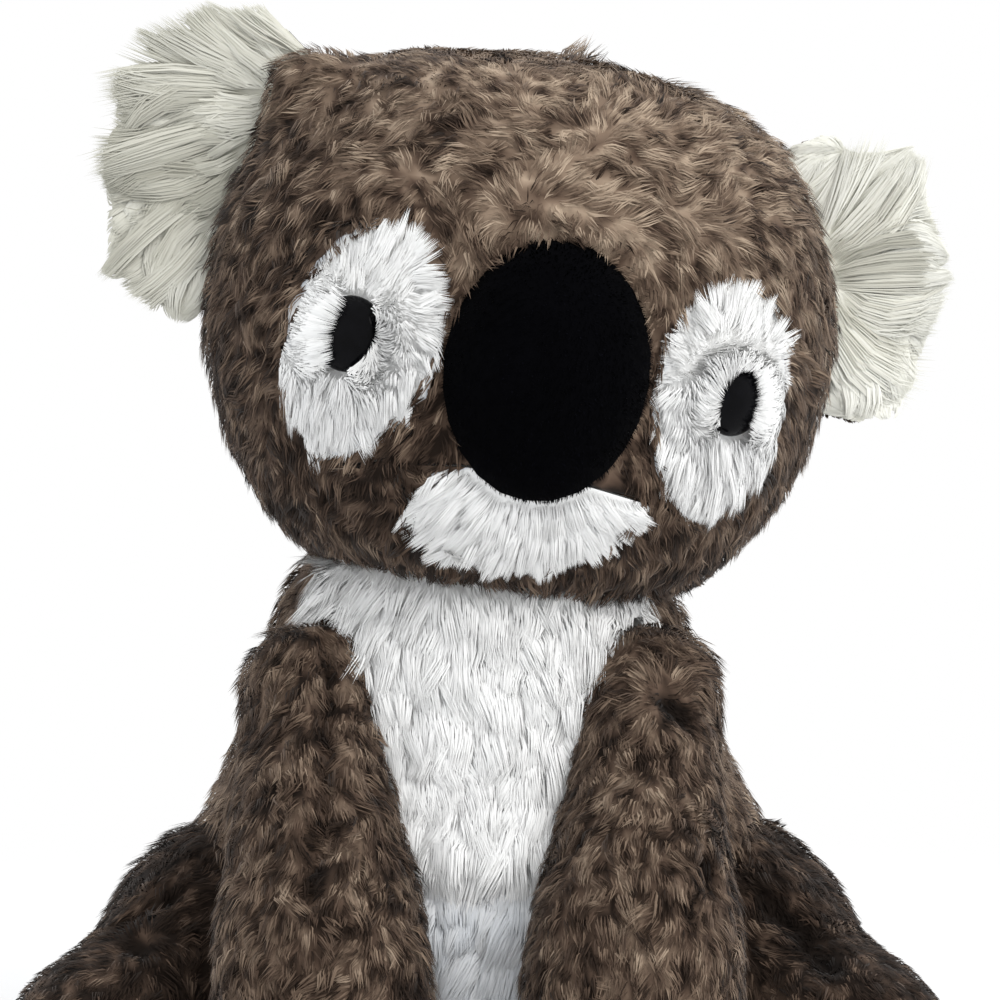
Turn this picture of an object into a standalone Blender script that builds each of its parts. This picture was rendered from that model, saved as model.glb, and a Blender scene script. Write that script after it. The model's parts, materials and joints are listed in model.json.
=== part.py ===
"""A seated plush koala: sewn skins over stuffing, with a pellet pouch, safety eyes, a velour nose and fur ears.

Metres, +Z up. The toy faces -Y, +X is the viewer's right, and the origin is the middle of the flat seat.
Run it with blender --background --python part.py, or from Blender's text editor.
"""

import math

import bmesh
import bpy
import numpy as np

# Fabric and fits
PLUSH_THICKNESS = 0.003
VELOUR_THICKNESS = 0.0013
STUFFING_GAP = 0.0007
SEAM_GAP = 0.0004
JOINT_GAP = 0.0018
BODY_CLEARANCE = 0.0021
CUT_OVERRUN = 0.06

# Facets of the cages
OUTER_SEGMENTS = 14
INNER_SEGMENTS = 8
LIMB_SEGMENTS = 8
LIMB_INNER_SEGMENTS = 6

# Body: a sack with a rounded top that sits up inside the head
BODY_HALF_WIDTH = 0.073
BODY_HALF_DEPTH = 0.056
SEAT_SAG = 0.006
SHOULDER_DOME_WIDTH = 0.056
SHOULDER_DOME_DEPTH = 0.050
NECK_HEIGHT = 0.112
BODY_HEIGHT = NECK_HEIGHT + SHOULDER_DOME_WIDTH
NECK_GAP = 0.003
NECK_OPENING_RADIUS = 0.018
BELLY_PANEL_TOP = 0.150
BELLY_PANEL_BOTTOM = 0.014
BELLY_PANEL_HALF_WIDTH = 0.043

# Neck wad and seat pouch
NECK_WAD_RADIUS = 0.021
NECK_WAD_THICKNESS = 0.006
NECK_WAD_GAP = 0.0006
NOD_ROOM = 0.012
POUCH_HALF_WIDTH = 0.031
POUCH_HALF_DEPTH = 0.034
POUCH_HEIGHT = 0.021

# Head, placed by its middle
HEAD_HALF_WIDTH = 0.077
HEAD_HALF_HEIGHT = 0.068
HEAD_HALF_DEPTH = 0.058
HEAD_CHIN_LEAN = 0.005
HEAD_SIDE = 0.0095
HEAD_FORWARD = 0.006
HEAD_HEIGHT = 0.206
HEAD_ROLL = math.radians(9.5)
HEAD_TURN = math.radians(8.0)

# Face
EYE_SPACING = 0.091
EYE_DROP = 0.010
EYE_RADIUS = 0.009
EYE_DOME = 0.0058
EYE_SHANK_RADIUS = 0.003
EYE_SHANK_LENGTH = 0.013
EYE_SHANK_GAP = 0.0003
WASHER_RADIUS = 0.0085
WASHER_THICKNESS = 0.0016
WASHER_DEPTH = 0.0052
EYE_PATCH_SPACING = 0.086
EYE_PATCH_DROP = 0.012
EYE_PATCH_HALF_WIDTH = 0.0175
EYE_PATCH_HALF_HEIGHT = 0.0285
NOSE_HALF_WIDTH = 0.0245
NOSE_HALF_HEIGHT = 0.0305
NOSE_HALF_DEPTH = 0.019
NOSE_DROP = 0.011
NOSE_SETBACK = 0.0045
MUZZLE_HALF_WIDTH = 0.030
MUZZLE_TOP_DROP = 0.036
MUZZLE_BOTTOM_DROP = 0.0575

# Ears
EAR_HALF_HEIGHT = 0.037
EAR_HALF_WIDTH = 0.0265
EAR_SPREAD = 0.077
EAR_RISE = 0.026
EAR_BEHIND = 0.006
EAR_CUP = 0.007
EAR_LEAN = math.radians(17.0)
EAR_FLARE = math.radians(14.0)
EAR_FRONT_THICKNESS = 0.004
EAR_BACK_THICKNESS = 0.003

# Arms, hung from the shoulders
SHOULDER_SPACING = 0.080
SHOULDER_FORWARD = 0.030
SHOULDER_HEIGHT = 0.116
ARM_ROOT_RADIUS = 0.0180
ARM_LENGTH = 0.114
ARM_HALF_WIDTH = 0.0240
ARM_HALF_DEPTH = 0.0205
ARM_BOW = 0.006
ARM_REACH = math.radians(31.0)
ARM_TUCK = math.radians(4.0)
ARM_OPENING_RADIUS = 0.010

# Legs, splayed from the hips
HIP_SPACING = 0.120
HIP_FORWARD = 0.008
HIP_HEIGHT = 0.047
LEG_ROOT_RADIUS = 0.036
LEG_LENGTH = 0.067
LEG_HALF_WIDTH = 0.0285
LEG_DROOP = math.radians(66.0)
LEFT_LEG_SPLAY = math.radians(41.0)
RIGHT_LEG_SPLAY = math.radians(39.0)
LEG_OPENING_RADIUS = 0.018
SOLE_PAD_RADIUS = 0.0175

# Shapes as shares: (height, width, depth, lean) from the top down, each of its own half size
HEAD_SHARES = (
    (1.00, 0.00, 0.00, 0.0),
    (0.87, 0.58, 0.56, 0.0),
    (0.66, 0.83, 0.82, 0.1),
    (0.34, 0.975, 0.97, 0.3),
    (-0.06, 1.00, 1.00, 0.6),
    (-0.42, 0.93, 0.97, 1.0),
    (-0.70, 0.775, 0.84, 1.2),
    (-0.90, 0.54, 0.60, 0.8),
    (-1.00, 0.00, 0.00, 0.3),
)
BODY_SHARES = (
    (0.49, 0.97, 0.98, 0.5),
    (0.29, 1.00, 1.03, 0.5),
    (0.12, 0.92, 0.97, 0.3),
    (0.02, 0.70, 0.77, 0.1),
    (0.00, 0.00, 0.00, 0.0),
)
# Angles from the dome's pole at which rings lie on the body's round top
DOME_ANGLES = (math.radians(19.5), math.radians(37), math.radians(62), math.radians(90))
BODY_LEAN = 0.004
# Limbs, from the root's pole to the tip: (way along from the pivot, width, depth, bow)
ARM_SHARES = (
    (0.25, 0.76, 0.91, 0.75),
    (0.52, 0.98, 1.04, 1.0),
    (0.78, 1.02, 0.98, 0.6),
    (0.93, 0.68, 0.66, 0.1),
    (1.00, 0.00, 0.00, 0.0),
)
LEG_SHARES = (
    (0.54, 0.96, 0.98, 0.0),
    (0.86, 0.88, 0.90, 0.0),
    (1.00, 0.00, 0.00, 0.0),
)
# Angles from the root's pole at which rings lie on its ball
ARM_BALL_ANGLES = (math.radians(48), math.radians(90))
LEG_BALL_ANGLES = (math.radians(48), math.radians(88), math.radians(124))
POLE_PULL_SHARE = 0.14
BELLY_SHARES = ((1.00, 0.82), (0.93, 0.92), (0.78, 0.90), (0.55, 0.76), (0.30, 0.66), (0.10, 0.50), (0.00, 0.16))
MUZZLE_SHARES = ((0.00, 1.00), (0.34, 0.93), (0.66, 0.74), (0.90, 0.42), (1.00, 0.10))

# Colours
BROWN = (0.185, 0.125, 0.088)
WHITE = (0.86, 0.86, 0.83)
CREAM = (0.84, 0.85, 0.76)
BLACK = (0.012, 0.012, 0.014)
FIBRE = (0.80, 0.80, 0.78)
LINEN = (0.55, 0.50, 0.42)
CLEAR_PLASTIC = (0.70, 0.70, 0.68)


def clear_scene():
    """Removes what the scene holds."""
    for obj in list(bpy.data.objects):
        bpy.data.objects.remove(obj, do_unlink=True)


def new_collection(name):
    """Returns a new collection linked to the scene."""
    collection = bpy.data.collections.new(name)
    bpy.context.scene.collection.children.link(collection)
    return collection


def principled(name, colour, roughness, metallic=0.0):
    """Returns a material with one Principled BSDF."""
    material = bpy.data.materials.new(name)
    material.use_nodes = True
    shader = material.node_tree.nodes["Principled BSDF"]
    shader.inputs["Base Color"].default_value = (*colour, 1.0)
    shader.inputs["Roughness"].default_value = roughness
    shader.inputs["Metallic"].default_value = metallic
    return material


clear_scene()
TOY = new_collection("plush_koala")
CUTTERS = new_collection("cutters")
CUTTERS.hide_render = True
PLUSH = principled("brown_plush", BROWN, 0.95)
PILE = principled("white_plush", WHITE, 0.95)
EAR_PILE = principled("cream_pile", CREAM, 0.95)
VELOUR = principled("black_velour", BLACK, 0.9)
FILL = principled("polyester_fill", FIBRE, 1.0)
CALICO = principled("pouch_cloth", LINEN, 0.9)
EYE_PLASTIC = principled("eye_plastic", BLACK, 0.08)
WASHER_PLASTIC = principled("washer_plastic", CLEAR_PLASTIC, 0.4)


def pivot(name, place, turn=(0.0, 0.0, 0.0)):
    """Adds an empty that carries the pieces of one moving part."""
    empty = bpy.data.objects.new(name, None)
    empty.location = place
    empty.rotation_euler = turn
    TOY.objects.link(empty)
    return empty


def add_object(name, bm, parent=None, material=None, place=(0.0, 0.0, 0.0), turn=(0.0, 0.0, 0.0)):
    """Turns a bmesh into a named piece, or into a cutter where it has no material."""
    mesh = bpy.data.meshes.new(name)
    bmesh.ops.recalc_face_normals(bm, faces=bm.faces)
    bm.to_mesh(mesh)
    bm.free()
    obj = bpy.data.objects.new(name, mesh)
    obj.location = place
    obj.rotation_euler = turn
    obj.parent = parent
    if material is None:
        CUTTERS.objects.link(obj)
        obj.hide_render = True
        obj.display_type = "WIRE"
    else:
        TOY.objects.link(obj)
        mesh.materials.append(material)
        mesh.shade_smooth()
    return obj


def boolean(obj, cutter, operation="DIFFERENCE"):
    """Cuts, keeps or joins one solid by another."""
    modifier = obj.modifiers.new(f"{operation.lower()}_{cutter.name}", "BOOLEAN")
    modifier.operation = operation
    modifier.solver = "EXACT"
    modifier.object = cutter


def subdivide(obj, levels):
    """Rounds a cage, and splits its bent quads so that each face is flat where it is cut."""
    modifier = obj.modifiers.new("rounding", "SUBSURF")
    modifier.levels = levels
    modifier.render_levels = levels
    flatten_faces(obj)


def flatten_faces(obj):
    """Splits the faces into triangles."""
    obj.modifiers.new("flat_faces", "TRIANGULATE")


def inset_rings(rings, inset):
    """Moves each (height, width, depth, shift) ring inward along the outline's normal."""
    rings = np.array(rings, dtype=float)
    radius = rings[:, 1:3].mean(axis=1)
    along = np.stack([np.gradient(rings[:, 0]), np.gradient(radius)], axis=1)
    along[0] = (0.0, 1.0)
    along[-1] = (0.0, -1.0)
    along /= np.linalg.norm(along, axis=1)[:, None]
    moved = rings.copy()
    moved[:, 0] -= inset * along[:, 1]
    moved[1:-1, 1] += inset * along[1:-1, 0]
    moved[1:-1, 2] += inset * along[1:-1, 0]
    return moved


def cage_rings(rings, segments):
    """Works out the cage whose subdivided surface passes through the rings, which run from top to bottom."""
    count = len(rings)
    weights = np.eye(count)
    for i in range(1, count - 1):
        weights[i, i - 1 : i + 2] = (1 / 6, 4 / 6, 1 / 6)
    cage = np.linalg.solve(weights, rings)
    round_share = (2 + math.cos(2 * math.pi / segments)) / 3
    cage[:, 1:3] /= round_share
    for pole, beside in ((0, 1), (-1, -2)):
        cage[pole, 0] += POLE_PULL_SHARE * (rings[pole][0] - rings[beside][0])
        cage[pole, 1:3] = 0
    return cage


def soft_form(name, rings, segments, inset=0.0, **options):
    """Makes a closed soft form from a coarse cage of rings along Z and a subdivision."""
    cage = cage_rings(inset_rings(rings, inset), segments)
    last = len(cage) - 1
    bm = bmesh.new()
    bmesh.ops.create_uvsphere(bm, u_segments=segments, v_segments=last, radius=1)
    for vertex in bm.verts:
        ring = round(math.acos(max(-1, min(1, vertex.co.z))) / math.pi * last)
        height, width, depth, shift = cage[ring]
        flat = math.hypot(vertex.co.x, vertex.co.y)
        if flat:
            vertex.co.x *= width / flat
            vertex.co.y *= depth / flat
        vertex.co.y += shift
        vertex.co.z = height
    obj = add_object(name, bm, **options)
    subdivide(obj, 1)
    return obj


def ellipsoid(name, half_sizes, place, segments=32, rings=20, **options):
    """Makes a closed ellipsoid."""
    bm = bmesh.new()
    bmesh.ops.create_uvsphere(bm, u_segments=segments, v_segments=rings, radius=1)
    bmesh.ops.scale(bm, vec=half_sizes, verts=bm.verts)
    return add_object(name, bm, place=place, **options)


def rod(name, radius, start, end, segments=24, **options):
    """Makes a closed cylinder along its own Z, from one height to another."""
    bm = bmesh.new()
    bmesh.ops.create_cone(
        bm, cap_ends=True, segments=segments, radius1=radius, radius2=radius, depth=end - start
    )
    bmesh.ops.translate(bm, vec=(0, 0, (start + end) / 2), verts=bm.verts)
    return add_object(name, bm, **options)


def prism(name, outline, front, back, **options):
    """Extrudes a closed outline of (x, z) points along Y."""
    bm = bmesh.new()
    face = bm.faces.new([bm.verts.new((x, front, z)) for x, z in outline])
    moved = bmesh.ops.extrude_face_region(bm, geom=[face])["geom"]
    corners = [part for part in moved if isinstance(part, bmesh.types.BMVert)]
    bmesh.ops.translate(bm, vec=(0, back - front, 0), verts=corners)
    return add_object(name, bm, **options)


def turned(name, profile, material, steps=12, **options):
    """Turns a closed (radius, height) profile, top to bottom, about Z with a Screw modifier."""
    bm = bmesh.new()
    points = [bm.verts.new((radius, 0, height)) for radius, height in profile]
    for first, second in zip(points, points[1:]):
        bm.edges.new((first, second))
    if profile[0][0] or profile[-1][0]:
        bm.edges.new((points[-1], points[0]))
    obj = add_object(name, bm, material=material, **options)
    screw = obj.modifiers.new("turning", "SCREW")
    screw.axis = "Z"
    screw.steps = steps
    screw.render_steps = steps
    screw.use_merge_vertices = True
    screw.merge_threshold = 0.0001
    return obj


def oval_outline(middle, half_width, half_height, grow, count=18, pinch=0.0, lean=0.0):
    """Returns an egg-shaped outline; pinch narrows its top and lean shifts its foot inward."""
    points = []
    for i in range(count):
        angle = 2 * math.pi * i / count
        up = math.sin(angle)
        width = (half_width + grow) * (1 - pinch * up)
        points.append((middle[0] + width * math.cos(angle) + lean * up, middle[1] + (half_height + grow) * up))
    return points


def smooth_outline(points):
    """Rounds a closed outline by cutting each corner once."""
    rounded = []
    for first, second in zip(points, points[1:] + points[:1]):
        rounded.append((0.75 * first[0] + 0.25 * second[0], 0.75 * first[1] + 0.25 * second[1]))
        rounded.append((0.25 * first[0] + 0.75 * second[0], 0.25 * first[1] + 0.75 * second[1]))
    return rounded


def mirrored_outline(shares, half_width, top, bottom, grow):
    """Returns a closed outline from a table of (way from bottom to top, width) shares."""
    right = []
    for rise, width in shares:
        height = bottom - grow + rise * (top - bottom + 2 * grow)
        right.append((width * half_width + grow, height))
    return smooth_outline(right + [(-x, z) for x, z in reversed(right)])


# Rings of the forms, in metres
def head_rings():
    """Rings of the head about its middle."""
    return [
        (up * HEAD_HALF_HEIGHT, wide * HEAD_HALF_WIDTH, deep * HEAD_HALF_DEPTH, -lean * HEAD_CHIN_LEAN)
        for up, wide, deep, lean in HEAD_SHARES
    ]


def body_rings():
    """Rings of the body: a dome about the neck's pivot, then the sack down to just below the seat."""
    rise = BODY_HEIGHT + SEAT_SAG
    rings = [(BODY_HEIGHT, 0.0, 0.0, 0.0)]
    for angle in DOME_ANGLES:
        height = NECK_HEIGHT + SHOULDER_DOME_WIDTH * math.cos(angle)
        flat = math.sin(angle)
        rings.append((height, flat * SHOULDER_DOME_WIDTH, flat * SHOULDER_DOME_DEPTH, 0.0))
    for up, wide, deep, lean in BODY_SHARES:
        half_width, half_depth = wide * BODY_HALF_WIDTH, deep * BODY_HALF_DEPTH
        rings.append((up * rise - SEAT_SAG, half_width, half_depth, -lean * BODY_LEAN))
    return rings


def limb_rings(root_radius, angles, length, half_width, half_depth, bow, shares):
    """Rings of a limb hanging down from its pivot, which is the middle of its ball-shaped root."""
    rings = [(root_radius, 0.0, 0.0, 0.0)]
    for angle in angles:
        flat = root_radius * math.sin(angle)
        rings.append((root_radius * math.cos(angle), flat, flat, 0.0))
    for way, wide, deep, bowed in shares:
        rings.append((-way * length, wide * half_width, deep * half_depth, -bowed * bow))
    return rings


# Where the moving parts turn
NECK = (0.0, 0.0, NECK_HEIGHT)
HEAD_PLACE = (HEAD_SIDE, -HEAD_FORWARD, HEAD_HEIGHT - NECK_HEIGHT)
HEAD_POSE = (0.0, HEAD_ROLL, HEAD_TURN)
SIDES = (("left", -1), ("right", 1))


def shoulder(side):
    """Place of a shoulder's pivot."""
    return (side * SHOULDER_SPACING / 2, -SHOULDER_FORWARD, SHOULDER_HEIGHT)


def hip(side):
    """Place of a hip's pivot."""
    return (side * HIP_SPACING / 2, -HIP_FORWARD, HIP_HEIGHT)


def floor_cutter(name, height):
    """A slab whose top face lies at this height, under everything."""
    bm = bmesh.new()
    bmesh.ops.create_cube(bm, size=1)
    reach = 4 * BODY_HALF_WIDTH
    bmesh.ops.scale(bm, vec=(reach, reach, CUT_OVERRUN), verts=bm.verts)
    bmesh.ops.translate(bm, vec=(0, 0, height - CUT_OVERRUN / 2), verts=bm.verts)
    return add_object(name, bm)


def socket_cutters(gap, tag):
    """Balls that the limbs' roots leave in the body."""
    cutters = []
    for word, side in SIDES:
        arm = ARM_ROOT_RADIUS + gap
        leg = LEG_ROOT_RADIUS + gap
        cutters.append(ellipsoid(f"shoulder_room_{tag}_{word}", (arm, arm, arm), shoulder(side), 14, 8))
        cutters.append(ellipsoid(f"hip_room_{tag}_{word}", (leg, leg, leg), hip(side), 16, 10))
    return cutters


def build_body():
    """The body bag, its white panel, the fill and the pellet pouch."""
    inside = soft_form("body_inside", body_rings(), INNER_SEGMENTS, inset=PLUSH_THICKNESS)
    boolean(inside, FLOORS["inner"])
    sockets = socket_cutters(JOINT_GAP, "skin")
    panel_top = BELLY_PANEL_TOP
    panel_hole = prism(
        "belly_hole",
        mirrored_outline(BELLY_SHARES, BELLY_PANEL_HALF_WIDTH, panel_top, BELLY_PANEL_BOTTOM, SEAM_GAP),
        -BODY_HALF_DEPTH - CUT_OVERRUN,
        -BODY_LEAN,
    )
    panel_keep = prism(
        "belly_keep",
        mirrored_outline(BELLY_SHARES, BELLY_PANEL_HALF_WIDTH, panel_top, BELLY_PANEL_BOTTOM, 0.0),
        -BODY_HALF_DEPTH - CUT_OVERRUN,
        -BODY_LEAN,
    )
    neck_hole = rod("neck_hole", NECK_OPENING_RADIUS, 0.0, BODY_HEIGHT, place=NECK)
    skin = soft_form("body_skin", body_rings(), OUTER_SEGMENTS, material=PLUSH)
    panel = soft_form("belly_panel", body_rings(), OUTER_SEGMENTS, material=PILE)
    for piece in (skin, panel):
        boolean(piece, FLOORS["outer"])
        boolean(piece, inside)
        for socket in sockets:
            boolean(piece, socket)
    boolean(skin, panel_hole)
    boolean(skin, neck_hole)
    boolean(panel, panel_keep, "INTERSECT")

    fill = soft_form(
        "body_stuffing", body_rings(), INNER_SEGMENTS, inset=PLUSH_THICKNESS + STUFFING_GAP, material=FILL
    )
    boolean(fill, FLOORS["fill"])
    for socket in socket_cutters(JOINT_GAP + STUFFING_GAP, "fill"):
        boolean(fill, socket)
    base = PLUSH_THICKNESS + STUFFING_GAP
    pouch_sizes = (POUCH_HALF_WIDTH, POUCH_HALF_DEPTH, POUCH_HEIGHT)
    room_sizes = tuple(size + STUFFING_GAP for size in pouch_sizes)
    pouch = ellipsoid("bean_pouch", pouch_sizes, (0, 0, base), 18, 10, material=CALICO)
    boolean(pouch, FLOORS["fill"])
    boolean(fill, ellipsoid("pouch_room", room_sizes, (0, 0, base), 18, 10))


def neck_pad(name, gap, top_radius, radius, **options):
    """A round pad on the body's dome, with a ball-shaped top on which the head nods."""
    place = (0.0, 0.0, 0.0) if options.get("parent") else NECK
    pad = ellipsoid(name, (top_radius, top_radius, top_radius), place, 24, 16, **options)
    wide, deep = SHOULDER_DOME_WIDTH + gap, SHOULDER_DOME_DEPTH + gap
    boolean(pad, rod(f"{name}_round", radius, 0.0, BODY_HEIGHT, 20, place=NECK), "INTERSECT")
    boolean(pad, ellipsoid(f"{name}_under", (wide, deep, wide), NECK, 24, 16))
    return pad


def build_neck():
    """The wad of fill that lies between the body's top and the head."""
    carrier = pivot("neck_pivot", NECK)
    top_radius = SHOULDER_DOME_WIDTH + NECK_WAD_GAP + NECK_WAD_THICKNESS
    neck_pad("neck_stuffing", NECK_WAD_GAP, top_radius, NECK_WAD_RADIUS, parent=carrier, material=FILL)


def face_samples(count=12):
    """Closely spaced rings of the head's surface, on the curve that its subdivision follows."""
    rings = np.array(head_rings())
    weights = np.eye(len(rings))
    for i in range(1, len(rings) - 1):
        weights[i, i - 1 : i + 2] = (1 / 6, 4 / 6, 1 / 6)
    cage = np.linalg.solve(weights, rings)
    samples = []
    for i in range(1, len(cage) - 2):
        for way in np.linspace(0, 1, count, endpoint=False):
            blend = np.array([(1 - way) ** 3, 3 * way**3 - 6 * way**2 + 4, 0, way**3])
            blend[2] = 6 - blend.sum()
            samples.append(blend @ cage[i - 1 : i + 3] / 6)
    return np.array(samples)[::-1]


def face_depth(across, up):
    """How far forward of the head's middle the face lies at a place on it."""
    wide, deep, shift = (np.interp(up, FACE_SAMPLES[:, 0], FACE_SAMPLES[:, i]) for i in (1, 2, 3))
    return float(shift - deep * math.sqrt(max(0.0, 1 - (across / wide) ** 2)))


def face_facing(across, up):
    """The outward normal of the face at a place on it."""
    step = EYE_RADIUS / 3
    slope_x = (face_depth(across + step, up) - face_depth(across - step, up)) / (2 * step)
    slope_z = (face_depth(across, up + step) - face_depth(across, up - step)) / (2 * step)
    length = math.sqrt(slope_x**2 + slope_z**2 + 1)
    return (slope_x / length, -1 / length, slope_z / length)


def eye_turn(normal):
    """The rotation that lays an object's Z along a normal."""
    tilt = math.acos(normal[2])
    heading = math.atan2(normal[1], normal[0])
    return (0.0, tilt, heading)


def build_head():
    """The head bag with its face, nose, eyes and ears."""
    carrier = pivot("head_pivot", NECK)
    head = pivot("head_frame", HEAD_PLACE, HEAD_POSE)
    head.parent = carrier
    inside = soft_form("head_inside", head_rings(), INNER_SEGMENTS, inset=PLUSH_THICKNESS, parent=head)
    dish_sizes = (
        SHOULDER_DOME_WIDTH + NECK_GAP,
        SHOULDER_DOME_DEPTH + NECK_GAP,
        SHOULDER_DOME_WIDTH + NECK_GAP,
    )
    dish = ellipsoid("neck_dish", dish_sizes, NECK, 18, 12)
    skin = soft_form("head_skin", head_rings(), OUTER_SEGMENTS, parent=head, material=PLUSH)
    boolean(skin, inside)
    boolean(skin, dish)
    fill = soft_form(
        "head_stuffing",
        head_rings(),
        INNER_SEGMENTS,
        inset=PLUSH_THICKNESS + STUFFING_GAP,
        parent=head,
        material=FILL,
    )
    boolean(fill, dish)
    room_radius = SHOULDER_DOME_WIDTH + NECK_WAD_THICKNESS + 2 * NECK_WAD_GAP
    wad_room = neck_pad("wad_room", 0.0, room_radius, NECK_WAD_RADIUS + NOD_ROOM)
    boolean(fill, wad_room)
    boolean(skin, wad_room)

    def face_panel(name, outline, material=PILE):
        """Cuts a panel out of the head bag and sews the same piece in."""
        front = -HEAD_HALF_DEPTH - CUT_OVERRUN
        hole = prism(f"{name}_hole", outline(SEAM_GAP), front, 0.0, parent=head)
        keep = prism(f"{name}_keep", outline(0.0), front, 0.0, parent=head)
        boolean(skin, hole)
        panel = soft_form(name, head_rings(), OUTER_SEGMENTS, parent=head, material=material)
        boolean(panel, inside)
        boolean(panel, keep, "INTERSECT")
        return panel

    face_panel("muzzle_patch", muzzle_outline)
    for word, side in SIDES:
        middle = (side * EYE_PATCH_SPACING / 2, -EYE_PATCH_DROP)
        patch = face_panel(
            f"eye_patch_{word}",
            lambda grow, middle=middle, side=side: oval_outline(
                middle, EYE_PATCH_HALF_WIDTH, EYE_PATCH_HALF_HEIGHT, grow, pinch=-0.06,
                lean=side * EYE_PATCH_HALF_WIDTH / 8,
            ),
        )
        build_eye(word, side, head, patch, fill)
        build_ear(word, side, head)
    build_nose(head)


def muzzle_outline(grow):
    """The crescent under the nose, from its straight top edge down."""
    top = -MUZZLE_TOP_DROP + grow
    drop = MUZZLE_BOTTOM_DROP - MUZZLE_TOP_DROP + 2 * grow
    right = [(wide * (MUZZLE_HALF_WIDTH + grow), top - down * drop) for down, wide in MUZZLE_SHARES]
    return smooth_outline(right + [(-x, z) for x, z in reversed(right)])


def build_eye(word, side, head, patch, fill):
    """One safety eye: a dome on a shank that passes through the patch into a washer."""
    across = side * EYE_SPACING / 2
    normal = face_facing(across, -EYE_DROP)
    middle = (across, face_depth(across, -EYE_DROP), -EYE_DROP)
    seat = tuple(place + SEAM_GAP * way for place, way in zip(middle, normal))
    turn = eye_turn(normal)
    dome = []
    for i in range(6):
        angle = math.radians(15) * i
        dome.append((EYE_RADIUS * math.sin(angle), EYE_DOME * math.cos(angle)))
    profile = dome + [
        (EYE_RADIUS, 0),
        (EYE_SHANK_RADIUS, 0),
        (EYE_SHANK_RADIUS, -EYE_SHANK_LENGTH),
        (0, -EYE_SHANK_LENGTH),
    ]
    turned(f"eye_{word}", profile, EYE_PLASTIC, parent=head, place=seat, turn=turn)
    bore = EYE_SHANK_RADIUS + EYE_SHANK_GAP
    washer_top = -WASHER_DEPTH
    washer = [
        (bore, washer_top),
        (WASHER_RADIUS, washer_top),
        (WASHER_RADIUS, washer_top - WASHER_THICKNESS),
        (bore, washer_top - WASHER_THICKNESS),
    ]
    turned(f"eye_washer_{word}", washer, WASHER_PLASTIC, parent=head, place=seat, turn=turn)
    room = rod(f"shank_room_{word}", bore, -EYE_SHANK_LENGTH - STUFFING_GAP, EYE_DOME, 16, parent=head,
               place=seat, turn=turn)
    washer_room = rod(
        f"washer_room_{word}", WASHER_RADIUS + STUFFING_GAP, washer_top - WASHER_THICKNESS - STUFFING_GAP,
        washer_top + STUFFING_GAP, 24, parent=head, place=seat, turn=turn,
    )
    boolean(patch, room)
    boolean(fill, room)
    boolean(fill, washer_room)


def build_nose(head):
    """The padded velour nose: a cover over its own fill, sewn on the face."""
    middle = (0.0, face_depth(0.0, -NOSE_DROP) + NOSE_SETBACK, -NOSE_DROP)
    sizes = (NOSE_HALF_WIDTH, NOSE_HALF_DEPTH, NOSE_HALF_HEIGHT)
    face = soft_form("nose_face_cut", head_rings(), OUTER_SEGMENTS, inset=-SEAM_GAP, parent=head)
    fill_face = soft_form(
        "nose_fill_face_cut", head_rings(), OUTER_SEGMENTS, inset=-2 * SEAM_GAP, parent=head
    )
    cover = ellipsoid("nose_cover", sizes, middle, 20, 12, parent=head, material=VELOUR)
    room = tuple(size - VELOUR_THICKNESS for size in sizes)
    padding = tuple(size - VELOUR_THICKNESS - STUFFING_GAP for size in sizes)
    boolean(cover, ellipsoid("nose_room", room, middle, 16, 10, parent=head))
    boolean(cover, face)
    fill = ellipsoid("nose_stuffing", padding, middle, 16, 10, parent=head, material=FILL)
    boolean(fill, fill_face)


def ear_layer(name, front, back, **options):
    """A cupped oval layer between two faces, in the ear's own frame with -Y forward."""
    bm = bmesh.new()
    bmesh.ops.create_uvsphere(bm, u_segments=16, v_segments=6, radius=1)
    half = (back - front) / 2
    for vertex in bm.verts:
        flat = math.hypot(vertex.co.x, vertex.co.z)
        round_share = 1 - flat**4
        depth = math.copysign(half * max(round_share, 0) ** 0.5, vertex.co.y) if abs(vertex.co.y) > 1e-6 else 0
        vertex.co.x *= EAR_HALF_WIDTH
        vertex.co.z *= EAR_HALF_HEIGHT
        vertex.co.y = (front + back) / 2 + depth - EAR_CUP * flat**2
    layer = add_object(name, bm, **options)
    flatten_faces(layer)
    return layer


def build_ear(word, side, head):
    """One ear: a white long-pile front on a brown back, both cut to the head's side."""
    place = (side * EAR_SPREAD, EAR_BEHIND, EAR_RISE)
    turn = (0.0, -side * EAR_LEAN, side * EAR_FLARE)
    side_cut = soft_form(f"ear_head_cut_{word}", head_rings(), OUTER_SEGMENTS, inset=-SEAM_GAP, parent=head)
    front = ear_layer(f"ear_front_{word}", -EAR_FRONT_THICKNESS, 0.0, parent=head, place=place, turn=turn,
                      material=EAR_PILE)
    back = ear_layer(f"ear_back_{word}", SEAM_GAP, SEAM_GAP + EAR_BACK_THICKNESS, parent=head, place=place,
                     turn=turn, material=PLUSH)
    for layer in (front, back):
        boolean(layer, side_cut)


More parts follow.
